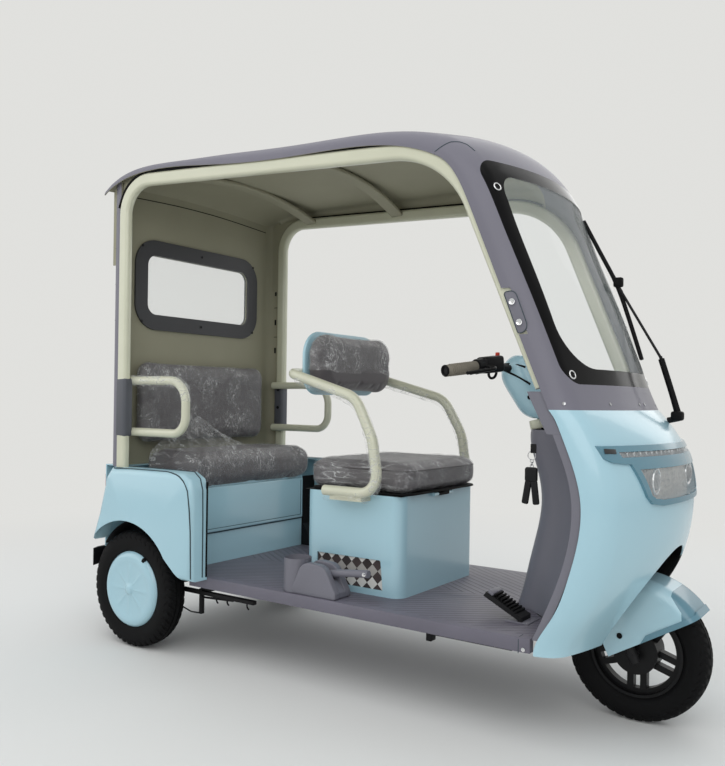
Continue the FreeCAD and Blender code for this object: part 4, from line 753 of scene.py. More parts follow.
def prism(outline, axis, low, high):
    """Closed prism of a flat outline, between two places on an axis."""
    mesh = bmesh.new()
    rings = []
    for level in (low, high):
        ring = []
        for u, v in outline:
            ring.append(mesh.verts.new({"x": (level, u, v), "y": (u, level, v), "z": (u, v, level)}[axis]))
        rings.append(ring)
    for k in range(len(outline)):
        m = (k + 1) % len(outline)
        mesh.faces.new((rings[0][k], rings[0][m], rings[1][m], rings[1][k]))
    mesh.faces.new(rings[0][::-1])
    mesh.faces.new(rings[1])
    bmesh.ops.recalc_face_normals(mesh, faces=mesh.faces)
    data = bpy.data.meshes.new("prism")
    mesh.to_mesh(data)
    mesh.free()
    return new_piece(data)


def carved(piece, tool, how):
    """Boolean of a piece with a tool, which is used up."""
    modify(piece, "BOOLEAN", object=tool, operation=how, solver="EXACT")
    bpy.data.objects.remove(tool)
    return piece


def without_caps(piece):
    """Removes the walls inside a tube that is made of short lengths."""
    opposite, parallel = -0.99, 0.999
    mesh = bmesh.new()
    mesh.from_mesh(piece.data)
    mesh.normal_update()
    caps = set()
    for edge in mesh.edges:
        faces = edge.link_faces
        if len(faces) > 2:
            for face in faces:
                if any(face.normal.dot(other.normal) < opposite for other in faces if other != face):
                    caps.add(face)
    front = list(caps)
    while front:
        face = front.pop()
        for edge in face.edges:
            faces = edge.link_faces
            if len(faces) == 2 or any(other in caps for other in faces if other != face):
                for other in faces:
                    if other not in caps and abs(other.normal.dot(face.normal)) > parallel:
                        caps.add(other)
                        front.append(other)
    bmesh.ops.delete(mesh, geom=list(caps), context="FACES")
    mesh.to_mesh(piece.data)
    mesh.free()
    return piece


def torus(centre, axis, major, minor, sides=28, rings=8):
    """Ring round an axis."""
    clear_selection()
    bpy.ops.mesh.primitive_torus_add(
        major_radius=major, minor_radius=minor, major_segments=sides, minor_segments=rings,
        location=(0, 0, 0),
    )
    piece = bpy.context.object
    piece.data.transform(faced(axis, centre))
    return piece


def mirrored_copy(piece):
    """The same piece on the other side of the middle plane."""
    twin = twin_of(piece)
    twin.data.transform(Matrix.Scale(-1, 4, (0, 1, 0)))
    return tidy_mesh(twin)


def part_of(node, test):
    """Copy of the faces of a node whose centre and normal pass a test."""
    piece = node_copy(node)
    drop_faces(piece, lambda centre, normal: not test(centre, normal))
    return piece


def faces_towards(focus):
    """Test for faces that look at a place."""
    return lambda centre, normal: normal.dot(centre - focus) < 0


def dress(node, finish, body, smooth=32.0, edge=0.0):
    """Smooth-shaded copy of a node that takes its place."""
    piece = node_copy(node)
    if edge:
        softened(piece, edge)
    return finished(piece, node + "_finish", finish, body, smooth, (node,))


# ---------------------------------------------------------------- operators


def studio_paper():
    """Paper floor that runs out into the background a few metres from the vehicle."""
    made, tree, shader = new_material("Studio floor paper", {"Roughness": 0.9, "Specular IOR Level": 0.2})
    where = place_of(tree)
    tinted(tree, shader, cloudy(tree, where, 0.8), shade(linear(PAPER), 0.97), linear(PAPER))
    reach = add_node(tree, "ShaderNodeVectorMath", links={0: where}, operation="LENGTH").outputs["Value"]
    far = ranged(tree, reach, 1.3, 4.2, interpolation_type="SMOOTHSTEP")
    share = maths(tree, "MULTIPLY", far, add_node(tree, "ShaderNodeLightPath").outputs["Is Camera Ray"])
    plain = add_node(tree, "ShaderNodeEmission", {"Color": linear(PAPER), "Strength": PAPER_GLOW})
    mixed = add_node(
        tree, "ShaderNodeMixShader",
        links={"Fac": share, 1: shader.outputs["BSDF"], 2: plain.outputs["Emission"]},
    )
    tree.links.new(mixed.outputs["Shader"], tree.nodes["Material Output"].inputs["Surface"])
    return made


class RICKSHAW_OT_studio(bpy.types.Operator):
    """Pale floor, soft light and the camera"""

    bl_idname = "rickshaw.studio"
    bl_label = "Studio"

    def execute(self, context):
        studio = context.scene.rickshaw_studio
        clear_selection()
        bpy.ops.mesh.primitive_circle_add(vertices=96, radius=40, fill_type="NGON", location=(0, 0, 0))
        floor = context.object
        floor.name = "studio_floor"
        floor.data.materials.append(studio_paper())

        world = bpy.data.worlds.new("Studio air")
        context.scene.world = world
        world.use_nodes = True
        tree = world.node_tree
        tree.nodes.clear()
        rays = add_node(tree, "ShaderNodeLightPath").outputs
        direct = maths(tree, "MAXIMUM", rays["Is Camera Ray"], rays["Is Glossy Ray"])
        seen = maths(tree, "MAXIMUM", direct, rays["Is Transmission Ray"])
        ambient = add_node(tree, "ShaderNodeBackground", {"Color": linear("#EDF1F5"), "Strength": 0.62})
        shown = add_node(tree, "ShaderNodeBackground", {"Color": linear(PAPER), "Strength": PAPER_GLOW})
        mixed = add_node(
            tree, "ShaderNodeMixShader",
            links={"Fac": seen, 1: ambient.outputs["Background"], 2: shown.outputs["Background"]},
        )
        add_node(tree, "ShaderNodeOutputWorld", links={"Surface": mixed.outputs["Shader"]})

        # name, place, aim, size, power
        lamps = (
            ("key", (2.6, -3.8, 3.7), (0.2, 0, 0.7), 4.4, 92),
            ("fill", (-3.8, -2.8, 2.6), (-0.2, 0, 0.8), 4.2, 46),
            ("rim", (0.6, 3.8, 3.4), (0, 0, 1.0), 4.0, 46),
            ("top", (-0.4, -0.4, 4.8), (0, 0, 0), 5.0, 50),
        )
        for name, place, aim, size, power in lamps:
            bpy.ops.object.light_add(type="AREA", location=place)
            lamp = context.object
            lamp.name = "studio_" + name
            lamp.data.shape = "SQUARE"
            lamp.data.size = size
            lamp.data.energy = power
            lamp.rotation_euler = (Vector(aim) - Vector(place)).to_track_quat("-Z", "Y").to_euler()

        bpy.ops.object.camera_add()
        camera = context.object
        camera.name = "studio_camera"
        turn, tilt, roll = studio.azimuth, studio.elevation, studio.roll
        back = Vector((math.sin(turn) * math.cos(tilt), -math.cos(turn) * math.cos(tilt), math.sin(tilt)))
        level = (-back).cross(Vector((0, 0, 1))).normalized()
        upright = level.cross(-back)
        right = level * math.cos(roll) + upright * math.sin(roll)
        up = upright * math.cos(roll) - level * math.sin(roll)
        turned = Matrix((right, up, back)).transposed().to_4x4()
        camera.matrix_world = Matrix.Translation(Vector(studio.place)) @ turned
        camera.data.sensor_width = 36
        camera.data.lens = studio.lens
        camera.data.shift_y = studio.rise
        context.scene.camera = camera
        context.scene.view_settings.view_transform = "Standard"
        return {"FINISHED"}


# node, finish, material slot, smoothing angle, edge rounding in metres
SHELLS = (
    ("leg_shield", "shield", "shield_grey", 30, 0.005),
    ("dash_panel", "shield", "shield_grey", 30, 0.006),
    ("rear_fender_left", "body", "body_blue", 40, 0),
    ("rear_fender_right", "body", "body_blue", 40, 0),
    ("rear_tub", "body", "body_blue", 30, 0),
    ("bench_box", "body", "body_blue", 30, 0),
    ("driver_box", "body", "body_blue", 30, 0),
    ("roof_bows", "liner", "liner_cream", 40, 0),
    ("arm_frame", "frame", "frame_cream", 40, 0),
    ("armrests", "frame", "frame_cream", 40, 0),
    ("solar_panel", "solar", "solar_cells", 30, 0),
    ("rear_window_frame", "window_frame", "window_black", 30, 0),
    ("rear_window_glass", "pane", "clear_glass", 30, 0),
    ("headlamp_housing", "accent", "lamp_teal", 30, 0),
    ("brake_pedal", "chassis", "chassis_black", 30, 0),
    ("hatch_cloth", "checks", "hatch_check", 30, 0),
    ("battery_pack", "chassis", "battery_case", 30, 0.004),
    ("wheel_wells", "black_plastic", "black_plastic", 40, 0),
    ("chassis_frame", "chassis", "chassis_black", 30, 0),
    ("rear_axle", "chassis", "chassis_black", 30, 0),
    ("drive_motor", "motor", "chassis_black", 30, 0),
    ("leaf_springs", "spring", "spring_steel", 30, 0),
    ("rear_bumper", "black_plastic", "black_plastic", 30, 0.004),
    ("tail_lamps", "red_lens", "tail_red", 30, 0.003),
    ("plate_holder", "black_plastic", "black_plastic", 30, 0),
)
# Middle of the cabin, and the place of the rear wall's inner face
CABIN = Vector((-0.25, 0, 1.2))
WALL_FRONT = -0.85


def faces_inside(centre, normal):
    """Whether a face of the cabin's shell looks into the cabin."""
    across = CABIN - centre
    across.x = min(max(across.x, -0.3), 0.3) if centre.x > WALL_FRONT else 0.6
    return normal.dot(across) > 0.12 * across.length


class RICKSHAW_OT_shells(bpy.types.Operator):
    """Body shells, frames and panels"""

    bl_idname = "rickshaw.shells"
    bl_label = "Shells"

    def execute(self, context):
        for node, finish, slot, smooth, edge in SHELLS:
            dress(node, finish, VEHICLE, smooth, edge)
        for node in ("side_frame_left", "side_frame_right"):
            piece = without_caps(node_copy(node))
            finished(piece, node + "_enamel", "frame", VEHICLE, 40, (node,))
        for node, slot in (("roof_shell", "roof_grey"), ("rear_wall", "liner_cream")):
            piece = dress(node, "shell", VEHICLE, 30)
            repaint(piece, "liner", faces_inside)
        low, high = box_of("driver_backrest_shell")
        outline = rounded_outline(rectangle(low, high, (1, 2)), (0.07, 0.07, 0.085, 0.085), 12)
        back = softened(prism(outline, "x", low.x, high.x), 0.004, 3)
        finished(back, "driver_backrest_back", "body", VEHICLE, 30, ("driver_backrest_shell",))
        return {"FINISHED"}


# Side frame's middle line in millimetres: each bend's centre and radius, the tube's half depth and
# half width, its middle's distance from the middle plane at the rear axle and its taper forwards
REAR_BEND = (-739.6, 1533.6, 112)
FRONT_BEND = (234.5, 1301.8, 290)
TUBE_HALF_DEPTH = 22.5
TUBE_HALF_WIDTH = 15
FRAME_SIDE = 427.5
FRAME_TAPER = 0.0425


def frame_edge(side, gap, sink):
    """Line that follows the outside of a side frame from the post over the rail to the pillar."""
    def across(x):
        return side * (FRAME_SIDE - FRAME_TAPER * (x - REAR_AXLE) + TUBE_HALF_WIDTH - sink)
    rear = REAR_BEND[2] + TUBE_HALF_DEPTH + gap
    front = FRONT_BEND[2] + TUBE_HALF_DEPTH + gap
    line = [spot(REAR_BEND[0] - rear, 0, 1560)]
    line += arc(REAR_BEND[:2], rear, 180, 87, 0)[2:]
    line += arc(FRONT_BEND[:2], front, 87, 62, 0)
    for place in line:
        place.y = across(place.x * 1000) / 1000
    return line


class RICKSHAW_OT_roof(bpy.types.Operator):
    """Dark edge lines, seams and bolts of the roof and the rear wall"""

    bl_idname = "rickshaw.roof"
    bl_label = "Roof and rear wall"

    def execute(self, context):
        # A black line along the outside of each side frame, where it meets the roof shell
        dark_edge_lines = [pipe(frame_edge(side, 4, 5), 0.0045, smooth=False) for side in SIDES]
        group("roof_dark_edges", dark_edge_lines, "seal", VEHICLE, "black_plastic")

        # Seam of the lining across the rear wall, and the joints of its side panels
        lining_x, panel_y = -922, 429
        crest = path(*((lining_x, y, z) for y, z in
                       ((-392, 1622), (-200, 1634), (0, 1638), (200, 1634), (392, 1622))))
        seams = [pipe(crest, 0.0016)]
        for side in SIDES:
            for z in (1160, 1290, 1420):
                joint = path((-908, side * panel_y, z), (-876, side * (panel_y + 0.5), z))
                seams.append(pipe(joint, 0.0014))
        group("lining_seams", seams, "seal", VEHICLE, "liner_cream")

        slots = [slab(spot(-893, side * panel_y - 2, z - 12), spot(-885, side * panel_y + 2, z + 12), 0.001)
                 for side in SIDES for z in (1100, 1225, 1355, 1480)]
        group("panel_slots", slots, "seal", VEHICLE, "black_plastic")

        # Corner panels between the rear wall, the roof and the frame's bend
        rear_x, rear_z, bend = REAR_BEND
        outline = [(-0.9255, 1.36), (-0.9255, 1.628), (-0.898, 1.652), (-0.70, 1.676)]
        outline += [(p.x, p.z) for p in arc((rear_x, rear_z), bend, 88, 180, 0)]
        outline.append(((rear_x - bend) / 1000, 1.36))
        pair("corner_panels", prism(outline, "y", 0.4235, 0.4275), "liner", VEHICLE, "liner_cream")

        forward, inward = Vector((1, 0, 0)), Vector((0, -1, 0))
        screws = [(spot(-914, y, z), forward)
                  for y, z in ((-304, 1170), (304, 1170), (-304, 1453), (304, 1453), (0, 1453), (0, 1170))]
        bolts("window_screws", screws, 0.005, 0.002, "black_plastic", VEHICLE, "window_black")

        # Clamp sleeves that carry the armrests on the rear posts
        sleeves = []
        for y in (side * panel_y for side in SIDES):
            sleeves.append(slab(spot(-877, y - 20, 742), spot(-826, y + 20, 952), 0.011, 4))
        group("post_sleeves", sleeves, "sleeve", VEHICLE, "window_black")
        clamps = [(spot(-850, 409, z), inward) for z in (770, 847, 925)]
        bolts("post_bolts", clamps, 0.0065, 0.004, "seal", VEHICLE, "black_plastic")
        return {"FINISHED"}


class RICKSHAW_OT_windshield(bpy.types.Operator):
    """Windshield with its black border, fasteners, mirror plates and rivets"""

    bl_idname = "rickshaw.windshield"
    bl_label = "Windshield"

    def execute(self, context):
        dress("windshield_surround", "shell", VEHICLE, 30)
        # Clear window: narrow border with wide lower corners
        corners = ((-0.331, 0.976), (0.331, 0.976), (0.326, 1.503), (-0.326, 1.503))
        window = rounded_outline(corners, (0.115, 0.115, 0.06, 0.06), 12)
        border = tidy_mesh(node_copy("windshield_glass"))
        clear = twin_of(border)
        for piece, how, name, finish, slot in (
            (border, "DIFFERENCE", "windshield_border", "frit", "window_black"),
            (clear, "INTERSECT", "windshield_pane", "pane", "clear_glass"),
        ):
            carved(piece, prism(window, "x", 0.3, 1.0), how)
            finished(piece, name, finish, VEHICLE, 30, ("windshield_glass",))

        places = both_sides([
            surface("windshield_glass", spot(1200, y, z + 60), spot(700, y, z - 20))
            for y, z in ((346, 1505), (330, 967))
        ])
        bolts("windshield_bolts", places, 0.0085, 0.003, "seal", VEHICLE, "black_plastic")
        rings = [torus(place + normal * 0.001, normal, 0.0105, 0.0022) for place, normal in places]
        group("windshield_rings", rings, "chrome", VEHICLE, "lens_clear", 50)

        # Pockets with two bolts that hold a mirror on each pillar
        face = 389.3
        corners = ((0.600, 1.172), (0.632, 1.176), (0.676, 1.064), (0.642, 1.064))
        outline = rounded_outline(corners, (0.006, 0.020, 0.020, 0.006), 8)
        pocket = softened(prism(outline, "y", 0.379, face / 1000), 0.0012)
        pair("mirror_pockets", pocket, "shield", VEHICLE, "shield_grey")
        # Painted shadow: a thin dark ring round each pocket stands in for the shade at the edge of the
        # recess
        rim = pipe([Vector((x, face / 1000, z)) for x, z in outline], 0.0011, smooth=False, closed=True)
        pair("mirror_pocket_shadows", rim, "joint", VEHICLE, "roof_grey")
        heads = [(spot(x, face, z), Vector((0, 1, 0))) for x, z in ((626, 1146), (647, 1092))]
        bolts("mirror_bolts", both_sides(heads), 0.0085, 0.006, "chrome", VEHICLE, "lens_clear")

        seam = []
        for k in range(-20, 21):
            turn = math.radians(4 * k)
            aim = spot(700 + 130 * math.cos(turn), 385 * math.sin(turn), 869)
            seam.append(nearest("windshield_surround", aim)[0])
        finished(pipe(seam, 0.0016), "cowl_seam", "joint", VEHICLE)

        line = path((380, 397, 1562), (399, 396, 1573), (416, 388, 1586), (430, 375, 1596),
                    (449, 358, 1597), (465, 348, 1590), (489, 346, 1569))
        laid = pipe([nearest("windshield_surround", place)[0] for place in divided(line, 6)], 0.0014)
        pair("roof_seams", laid, "joint", VEHICLE, "roof_grey")

        places = [surface("windshield_surround", spot(1200, y, 884), spot(500, y, 884))
                  for y in (24, 213, 379)]
        bolts("surround_rivets", both_sides(places), 0.0045, 0.002, "steel", VEHICLE, "wheel_steel")
        return {"FINISHED"}


def folds(place, seed, scale, stretch=1.0):
    """Height of the folds in crumpled film at a place, as two sizes of ridges."""
    ridge = Vector((place.x * scale, place.y * scale * stretch, place.z * scale)) + Vector(seed)
    return abs(noise.noise(ridge)), abs(noise.noise(ridge * 2.3)) * 0.5


def push_out(piece, rise):
    """Moves each point along its normal by what rise says for its place."""
    piece.data.update()
    normals = [vertex.normal.copy() for vertex in piece.data.vertices]
    for vertex, normal in zip(piece.data.vertices, normals):
        vertex.co += normal * rise(vertex.co)
    return normals


def film_finish(piece, name, body):
    """Paints a skin as packing film and shades it smooth all over."""
    finished(piece, name, "film", body, 0)
    activate(piece)
    bpy.ops.object.shade_smooth()


# Settings of the cloth that blows the pads up
CLOTH = {
    "quality": 5, "mass": 0.3, "tension_stiffness": 15, "compression_stiffness": 15, "shear_stiffness": 5,
    "bending_stiffness": 0.6, "use_pressure": True, "uniform_pressure_force": 4.0,
}
CLOTH_FRAMES = 20


def swollen(piece, cap, low, high):
    """Blows a closed form up a little with cloth under pressure, no point further than cap."""
    start = [vertex.co.copy() for vertex in piece.data.vertices]
    activate(piece)
    scene = bpy.context.scene
    scene.frame_set(1)
    bpy.ops.object.modifier_add(type="CLOTH")
    cloth = piece.modifiers[-1]
    for key, value in CLOTH.items():
        setattr(cloth.settings, key, value)
    cloth.settings.effector_weights.gravity = 0
    cloth.collision_settings.use_collision = False
    cloth.point_cache.frame_start = 1
    cloth.point_cache.frame_end = CLOTH_FRAMES
    for step in range(1, CLOTH_FRAMES + 1):
        scene.frame_set(step)
    bpy.ops.object.modifier_apply(modifier=cloth.name)
    scene.frame_set(1)
    for vertex, origin in zip(piece.data.vertices, start):
        move = vertex.co - origin
        if move.length > cap:
            vertex.co = origin + move * (cap / move.length)
        for axis in range(3):
            vertex.co[axis] = min(max(vertex.co[axis], low[axis]), high[axis])
    return piece


def cushion(node, shrink, corner, rim, voxel, cap, upright):
    """Crowned closed form in the space of a node; its corner edges run along the axis upright."""
    low, high = box_of(node)
    slack = Vector((0.004, 0.004, 0.004))
    base = cube((low + high) / 2, (high - low) - 2 * Vector(shrink))
    edit(base, "DESELECT")
    bpy.ops.mesh.select_mode(type="EDGE")
    leave_edit()
    for edge in base.data.edges:
        ends = [base.data.vertices[k].co for k in edge.vertices]
        edge.select = abs((ends[1] - ends[0]).normalized()[upright]) > 0.9
    bpy.ops.object.mode_set(mode="EDIT")
    bpy.ops.mesh.bevel(offset=corner, segments=8, affect="EDGES")
    leave_edit()
    softened(base, rim, 5, 40)
    modify(base, "REMESH", mode="VOXEL", voxel_size=voxel)
    modify(base, "SMOOTH", iterations=4, factor=0.5)
    return swollen(base, cap, low - slack, high + slack)


# node, shrink along each axis, radius of the corners and of the rims, voxel size, cap of the swelling,
# axis of the corner edges, film's seed
PADS = (
    ("bench_cushion", (0.012, 0.012, 0.010), 0.060, 0.034, 0.0075, 0.016, 2, 1.0),
    ("rear_backrest", (0.008, 0.012, 0.012), 0.050, 0.024, 0.0075, 0.012, 0, 2.0),
    ("driver_cushion", (0.007, 0.007, 0.008), 0.055, 0.022, 0.0065, 0.011, 2, 3.0),
    ("driver_backrest", (0.010, 0.006, 0.006), 0.080, 0.030, 0.0055, 0.011, 0, 4.0),
)


class RICKSHAW_OT_seats(bpy.types.Operator):
    """Upholstered pads and the packing film on them"""

    bl_idname = "rickshaw.seats"
    bl_label = "Seats"

    def execute(self, context):
        for node, shrink, corner, rim, voxel, cap, upright, seed in PADS:
            body = SEAT_LID if node == "driver_cushion" else VEHICLE
            pad = cushion(node, shrink, corner, rim, voxel, cap, upright)
            film = twin_of(pad)
            modify(pad, "SUBSURF", levels=1, render_levels=1)
            finished(pad, node + "_pad", "vinyl", body, 60, (node,))
            if node == "driver_cushion":
                self.welt(pad, node)
            self.wrap(film, node, body, seed)
        self.board()
        return {"FINISHED"}

    def welt(self, pad, node):
        """Piping where the top of a cushion meets its border."""
        low, high = box_of(node)
        tree = search_tree(pad.data)
        line = rounded_outline(rectangle(low, high), (0.06,) * 4)
        knots = [tree.find_nearest(Vector((*place, high.z - 0.016)))[0] for place in line]
        finished(pipe(knots, 0.003, closed=True), node + "_welt", "vinyl", SEAT_LID)

    def board(self):
        """Rounded board under the driver's cushion, with its hinge and lock."""
        top = box_of("driver_seat_board")[1].z
        bottom, hinge_top = 0.594, 0.5925
        outline = rounded_outline(rectangle(*box_of("driver_cushion"), inset=0.016), (0.05,) * 4)
        plate = softened(prism(outline, "z", bottom, top), 0.002)
        metal = part_of("driver_seat_board", lambda centre, normal: centre.z < hinge_top)
        group("seat_board", [plate, metal], "seal", SEAT_LID, "seat_board", 30, ("driver_seat_board",))

    def wrap(self, film, node, body, seed):
        """Loose film over a pad, gathered to a point on the bench."""
        low, high = box_of(node)
        depth, scale, stretch = 0.0032, 9, 2.4

        def rise(place):
            coarse, fine = folds(place, (seed,) * 3, scale, stretch)
            return depth * (0.5 + 1.6 * (coarse + fine))

        normals = push_out(film, rise)
        if node == "bench_cushion":
            self.gather(film, normals, Vector((low.x + 0.13, low.y + 0.20)))
        if node == "driver_backrest":
            for vertex in film.data.vertices:
                vertex.co.x = max(vertex.co.x, low.x - 0.002)
            # The film ends two thirds of the way down the pad, in a wavy hem
            hem = low.z + 0.36 * (high.z - low.z)
            drop_faces(film, lambda centre, normal: centre.z < hem + 0.004 * math.sin(centre.y * 21))
        film_finish(film, node + "_film", body)

    def gather(self, film, normals, peak):
        """Pulls the film on top of a pad up to a peak, with folds that run down from it."""
        reach, height, pleats, pleat = 0.20, 0.125, 11, 0.006
        for vertex, normal in zip(film.data.vertices, normals):
            away = Vector((vertex.co.x - peak.x, (vertex.co.y - peak.y) * 0.7))
            near = max(0.0, 1 - away.length / reach)
            if near > 0 and normal.z > 0.2:
                fold = math.sin(pleats * math.atan2(away.y, away.x)) * pleat * near * (1 - near) * 4
                vertex.co.z += height * near ** 2.0 + fold


def sleeve(name, points, radius, ragged, seed):
    """Crumpled film round a tube."""
    def rise(place):
        coarse, fine = folds(place, (seed, 0, seed), 30)
        return ragged * (coarse * 1.6 + fine)

    piece = pipe(points, radius, sides=6)
    modify(piece, "SUBSURF", levels=1, render_levels=1)
    push_out(piece, rise)
    film_finish(piece, name, VEHICLE)


class RICKSHAW_OT_front(bpy.types.Operator):
    """Cowl, headlamp, wiper, ignition key and trim at the front"""

    bl_idname = "rickshaw.front"
    bl_label = "Front end"

    def execute(self, context):
        cowl = dress("front_cowl", "body", VEHICLE, 30)
        repaint(cowl, "black_plastic", faces_towards(spot(650, 0, 560)))
        self.lamp()
        self.wiper()
        self.key()
        return {"FINISHED"}

    def lamp(self):
        """Lens with a faceted reflector and bowls, and the running light's segments."""
        def lower(centre, normal):
            return centre.z < LAMP_SPLIT

        def upper(centre, normal):
            return centre.z >= LAMP_SPLIT

        for test, name in ((lower, "headlamp_lens_main"), (upper, "running_light_lens")):
            lens = part_of("headlamp_lens", test)
            finished(lens, name, "lens", VEHICLE, 30, ("headlamp_lens",))
        for test, depth, name, finish, slot, smooth in (
            (lower, 0.024, "headlamp_reflector", "reflector", "lens_clear", 20),
            (upper, 0.012, "running_light_tray", "seal", "black_plastic", 30),
        ):
            back = part_of("headlamp_lens", lambda centre, normal: test(centre, normal) and normal.x > 0.2)
            back.data.transform(Matrix.Translation((-depth, 0, 0)))
            modify(back, "SOLIDIFY", thickness=0.002, offset=-1)
            finished(back, name, finish, VEHICLE, smooth)

        bowl_y, bowl_z, radius = 168, 686, 0.033
        rings, domes, bars = [], [], []
        for side in SIDES:
            y = side * bowl_y
            place, normal = surface("headlamp_lens", spot(1300, y, bowl_z), spot(500, y, bowl_z))
            seat = place + Vector((-0.019, 0, 0))
            rings.append(torus(seat, (1, 0, 0), radius, 0.0035))
            clear_selection()
            bpy.ops.mesh.primitive_uv_sphere_add(
                segments=28, ring_count=14, radius=radius * 0.72, location=seat
            )
            ball = bpy.context.object
            ball.scale = (0.45, 1, 1)
            domes.append(ball)
            for k in range(11):
                y = side * (30 + 27 * k)
                place, normal = surface("headlamp_housing", spot(1300, y, 771), spot(500, y, 771))
                low, high = Vector((-0.016, -0.0016, -0.018)), Vector((-0.0055, 0.0016, -0.006))
                bars.append(slab(place + low, place + high, 0.0005))
        ends = []
        for side in SIDES:
            place, normal = nearest("headlamp_housing", spot(858, side * 337, 762))
            tile = slab((-0.019, -0.0065, -0.001), (0.019, 0.0065, 0.0018), 0.0012)
            across = Vector((-0.55, side * 0.83, 0)).normalized()
            across = (across - normal * across.dot(normal)).normalized()
            ends.append(seated(tile, place, across, normal.cross(across), normal))
        group("running_light_ends", ends, "lens_dark", VEHICLE, "lens_clear")
        group("lamp_rings", rings, "chrome", VEHICLE, "lens_clear")
        group("lamp_projectors", domes, "lens_dark", VEHICLE, "lens_clear", 60)
        group("running_light_bars", bars, "chrome", VEHICLE, "lens_clear")

    def wiper(self):
        """Blade, spine and arm with its spring case and base."""
        y = 180
        dress("wiper", "black_plastic", VEHICLE, 30)
        sweep = path((607, y, 1462), (660, y, 1360), (716, y, 1258), (760, y, 1130), (794, y, 1022))
        blade = pipe(sweep, 0.0065)
        pivot = slab(spot(706, y - 11, 1246), spot(734, y + 11, 1276), 0.005)
        case = pipe(path((906, y, 850), (878, y, 940), (852, y, 1022)), 0.009, smooth=False)
        base = slab(spot(884, y - 17, 838), spot(918, y + 17, 866), 0.007)
        group("wiper_blade", [blade, pivot, case, base], "seal", VEHICLE, "black_plastic")

    def key(self):
        """Key in its lock, with a ring and two fobs."""
        seat, normal = surface("leg_shield", spot(300, -374, 786), spot(900, -374, 786))
        lock = rod(seat + Vector((0.004, 0, 0)), seat - Vector((0.006, 0, 0)), 0.009)
        softened(lock, 0.002)
        finished(lock, "ignition_lock", "steel", VEHICLE)
        x, y, z = 0.683, seat.y, seat.z - 0.010
        ring_x = x - 0.004
        bow = slab((x - 0.008, y - 0.002, z - 0.020), (x + 0.008, y + 0.002, z + 0.004), 0.0018)
        chain = [torus((ring_x, y, z - 0.026), (0, 1, 0), 0.011, 0.0012)]
        for k in range(3):
            chain.append(torus((ring_x, y, z - 0.041 - 0.006 * k), (k % 2, 1 - k % 2, 0), 0.0045, 0.001))
        group("key_chain", chain, "steel", VEHICLE, "wheel_steel")
        fobs = [bow, slab((x - 0.022, y - 0.007, z - 0.094), (x + 0.012, y + 0.007, z - 0.056), 0.0065, 4)]
        for lean, shift in ((0.16, -0.013), (-0.12, 0.003)):
            leaf = slab((-0.009, -0.005, -0.056), (0.009, 0.005, 0.006), 0.0048, 4)
            leaf.data.transform(
                Matrix.Translation((x + shift, y, z - 0.096)) @ Matrix.Rotation(lean, 4, "Y")
            )
            fobs.append(leaf)
        group("key_fobs", fobs, "black_plastic", VEHICLE, "black_plastic")


# Grooves of the rear fender in millimetres, each drawn as a dark line of painted shade: round its outer
# corner, and over its front face
FENDER_GROOVES = (
    ((-472, -457, 288), (-474, -459, 440), (-479, -461, 520), (-487, -462, 575), (-508, -461, 605),
     (-548, -455, 623), (-605, -446, 631), (-740, -449, 631), (-868, -454, 629)),
    ((-465, -411, 288), (-465, -412, 480), (-467, -414, 565), (-478, -412, 606), (-515, -402, 630),
     (-604, -396, 634), (-740, -396, 634), (-862, -398, 634)),
)


def fender_line(line, edge):
    """Thin dark pipe on the outside of the right fender, kept inside its width: painted shade in a groove.
    """
    places = []
    for place in divided(path(*line), 12):
        focus = Vector((min(place.x, -0.56), -0.40, min(place.z, 0.5)))
        away = (place - focus).normalized() * 0.1
        hit, normal = surface("rear_fender_right", place + away, place - away)
        places.append(hit + normal * 0.0004)
    groove = pipe(places, 0.0022)
    for vertex in groove.data.vertices:
        vertex.co.y = max(vertex.co.y, edge)
    return groove


class RICKSHAW_OT_rear(bpy.types.Operator):
    """Painted shade in the fender grooves, bench panel with painted shade round it, and painted shadows
    beside the bench
    """

    bl_idname = "rickshaw.rear"
    bl_label = "Rear end"

    def execute(self, context):
        # Painted shade: dark pipes lie in the fender's grooves, on both sides
        grooves = []
        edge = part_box("rear_fender_right")[0][1]
        for line in FENDER_GROOVES:
            groove = fender_line(line, edge)
            grooves += [groove, mirrored_copy(groove)]
        group("fender_groove_shadows", grooves, "joint", VEHICLE, "body_blue")

        strip = slab(spot(-468, -397, 286), spot(-464.4, -389, 604), 0.0008)
        pair("fender_seals", strip, "seal", VEHICLE, "black_plastic")

        panel = slab(spot(-630, -303, 397), spot(-616, 303, 561), 0.005, 3)
        finished(panel, "bench_panel", "body", VEHICLE)
        # Painted shade: thin dark lines for the groove round the panel's border and for the gap under its
        # lower edge
        groove_shade_line = path((-616, -288, 552), (-616, -288, 410), (-616, 288, 410), (-616, 288, 552))
        border = pipe(groove_shade_line, 0.0013, smooth=False)
        gap = pipe(path((-625, -304, 395), (-625, 304, 395)), 0.0035, smooth=False)
        group("bench_groove_shadows", [border, gap], "joint", VEHICLE, "body_blue")

        # Painted shadow: a black sheet fills the gap between the bench box and each fender
        plate = slab(spot(-627, 311, 284), spot(-622, 388, 566), 0.0015)
        pair("bench_gap_shadows", plate, "seal", VEHICLE, "black_plastic")
        return {"FINISHED"}


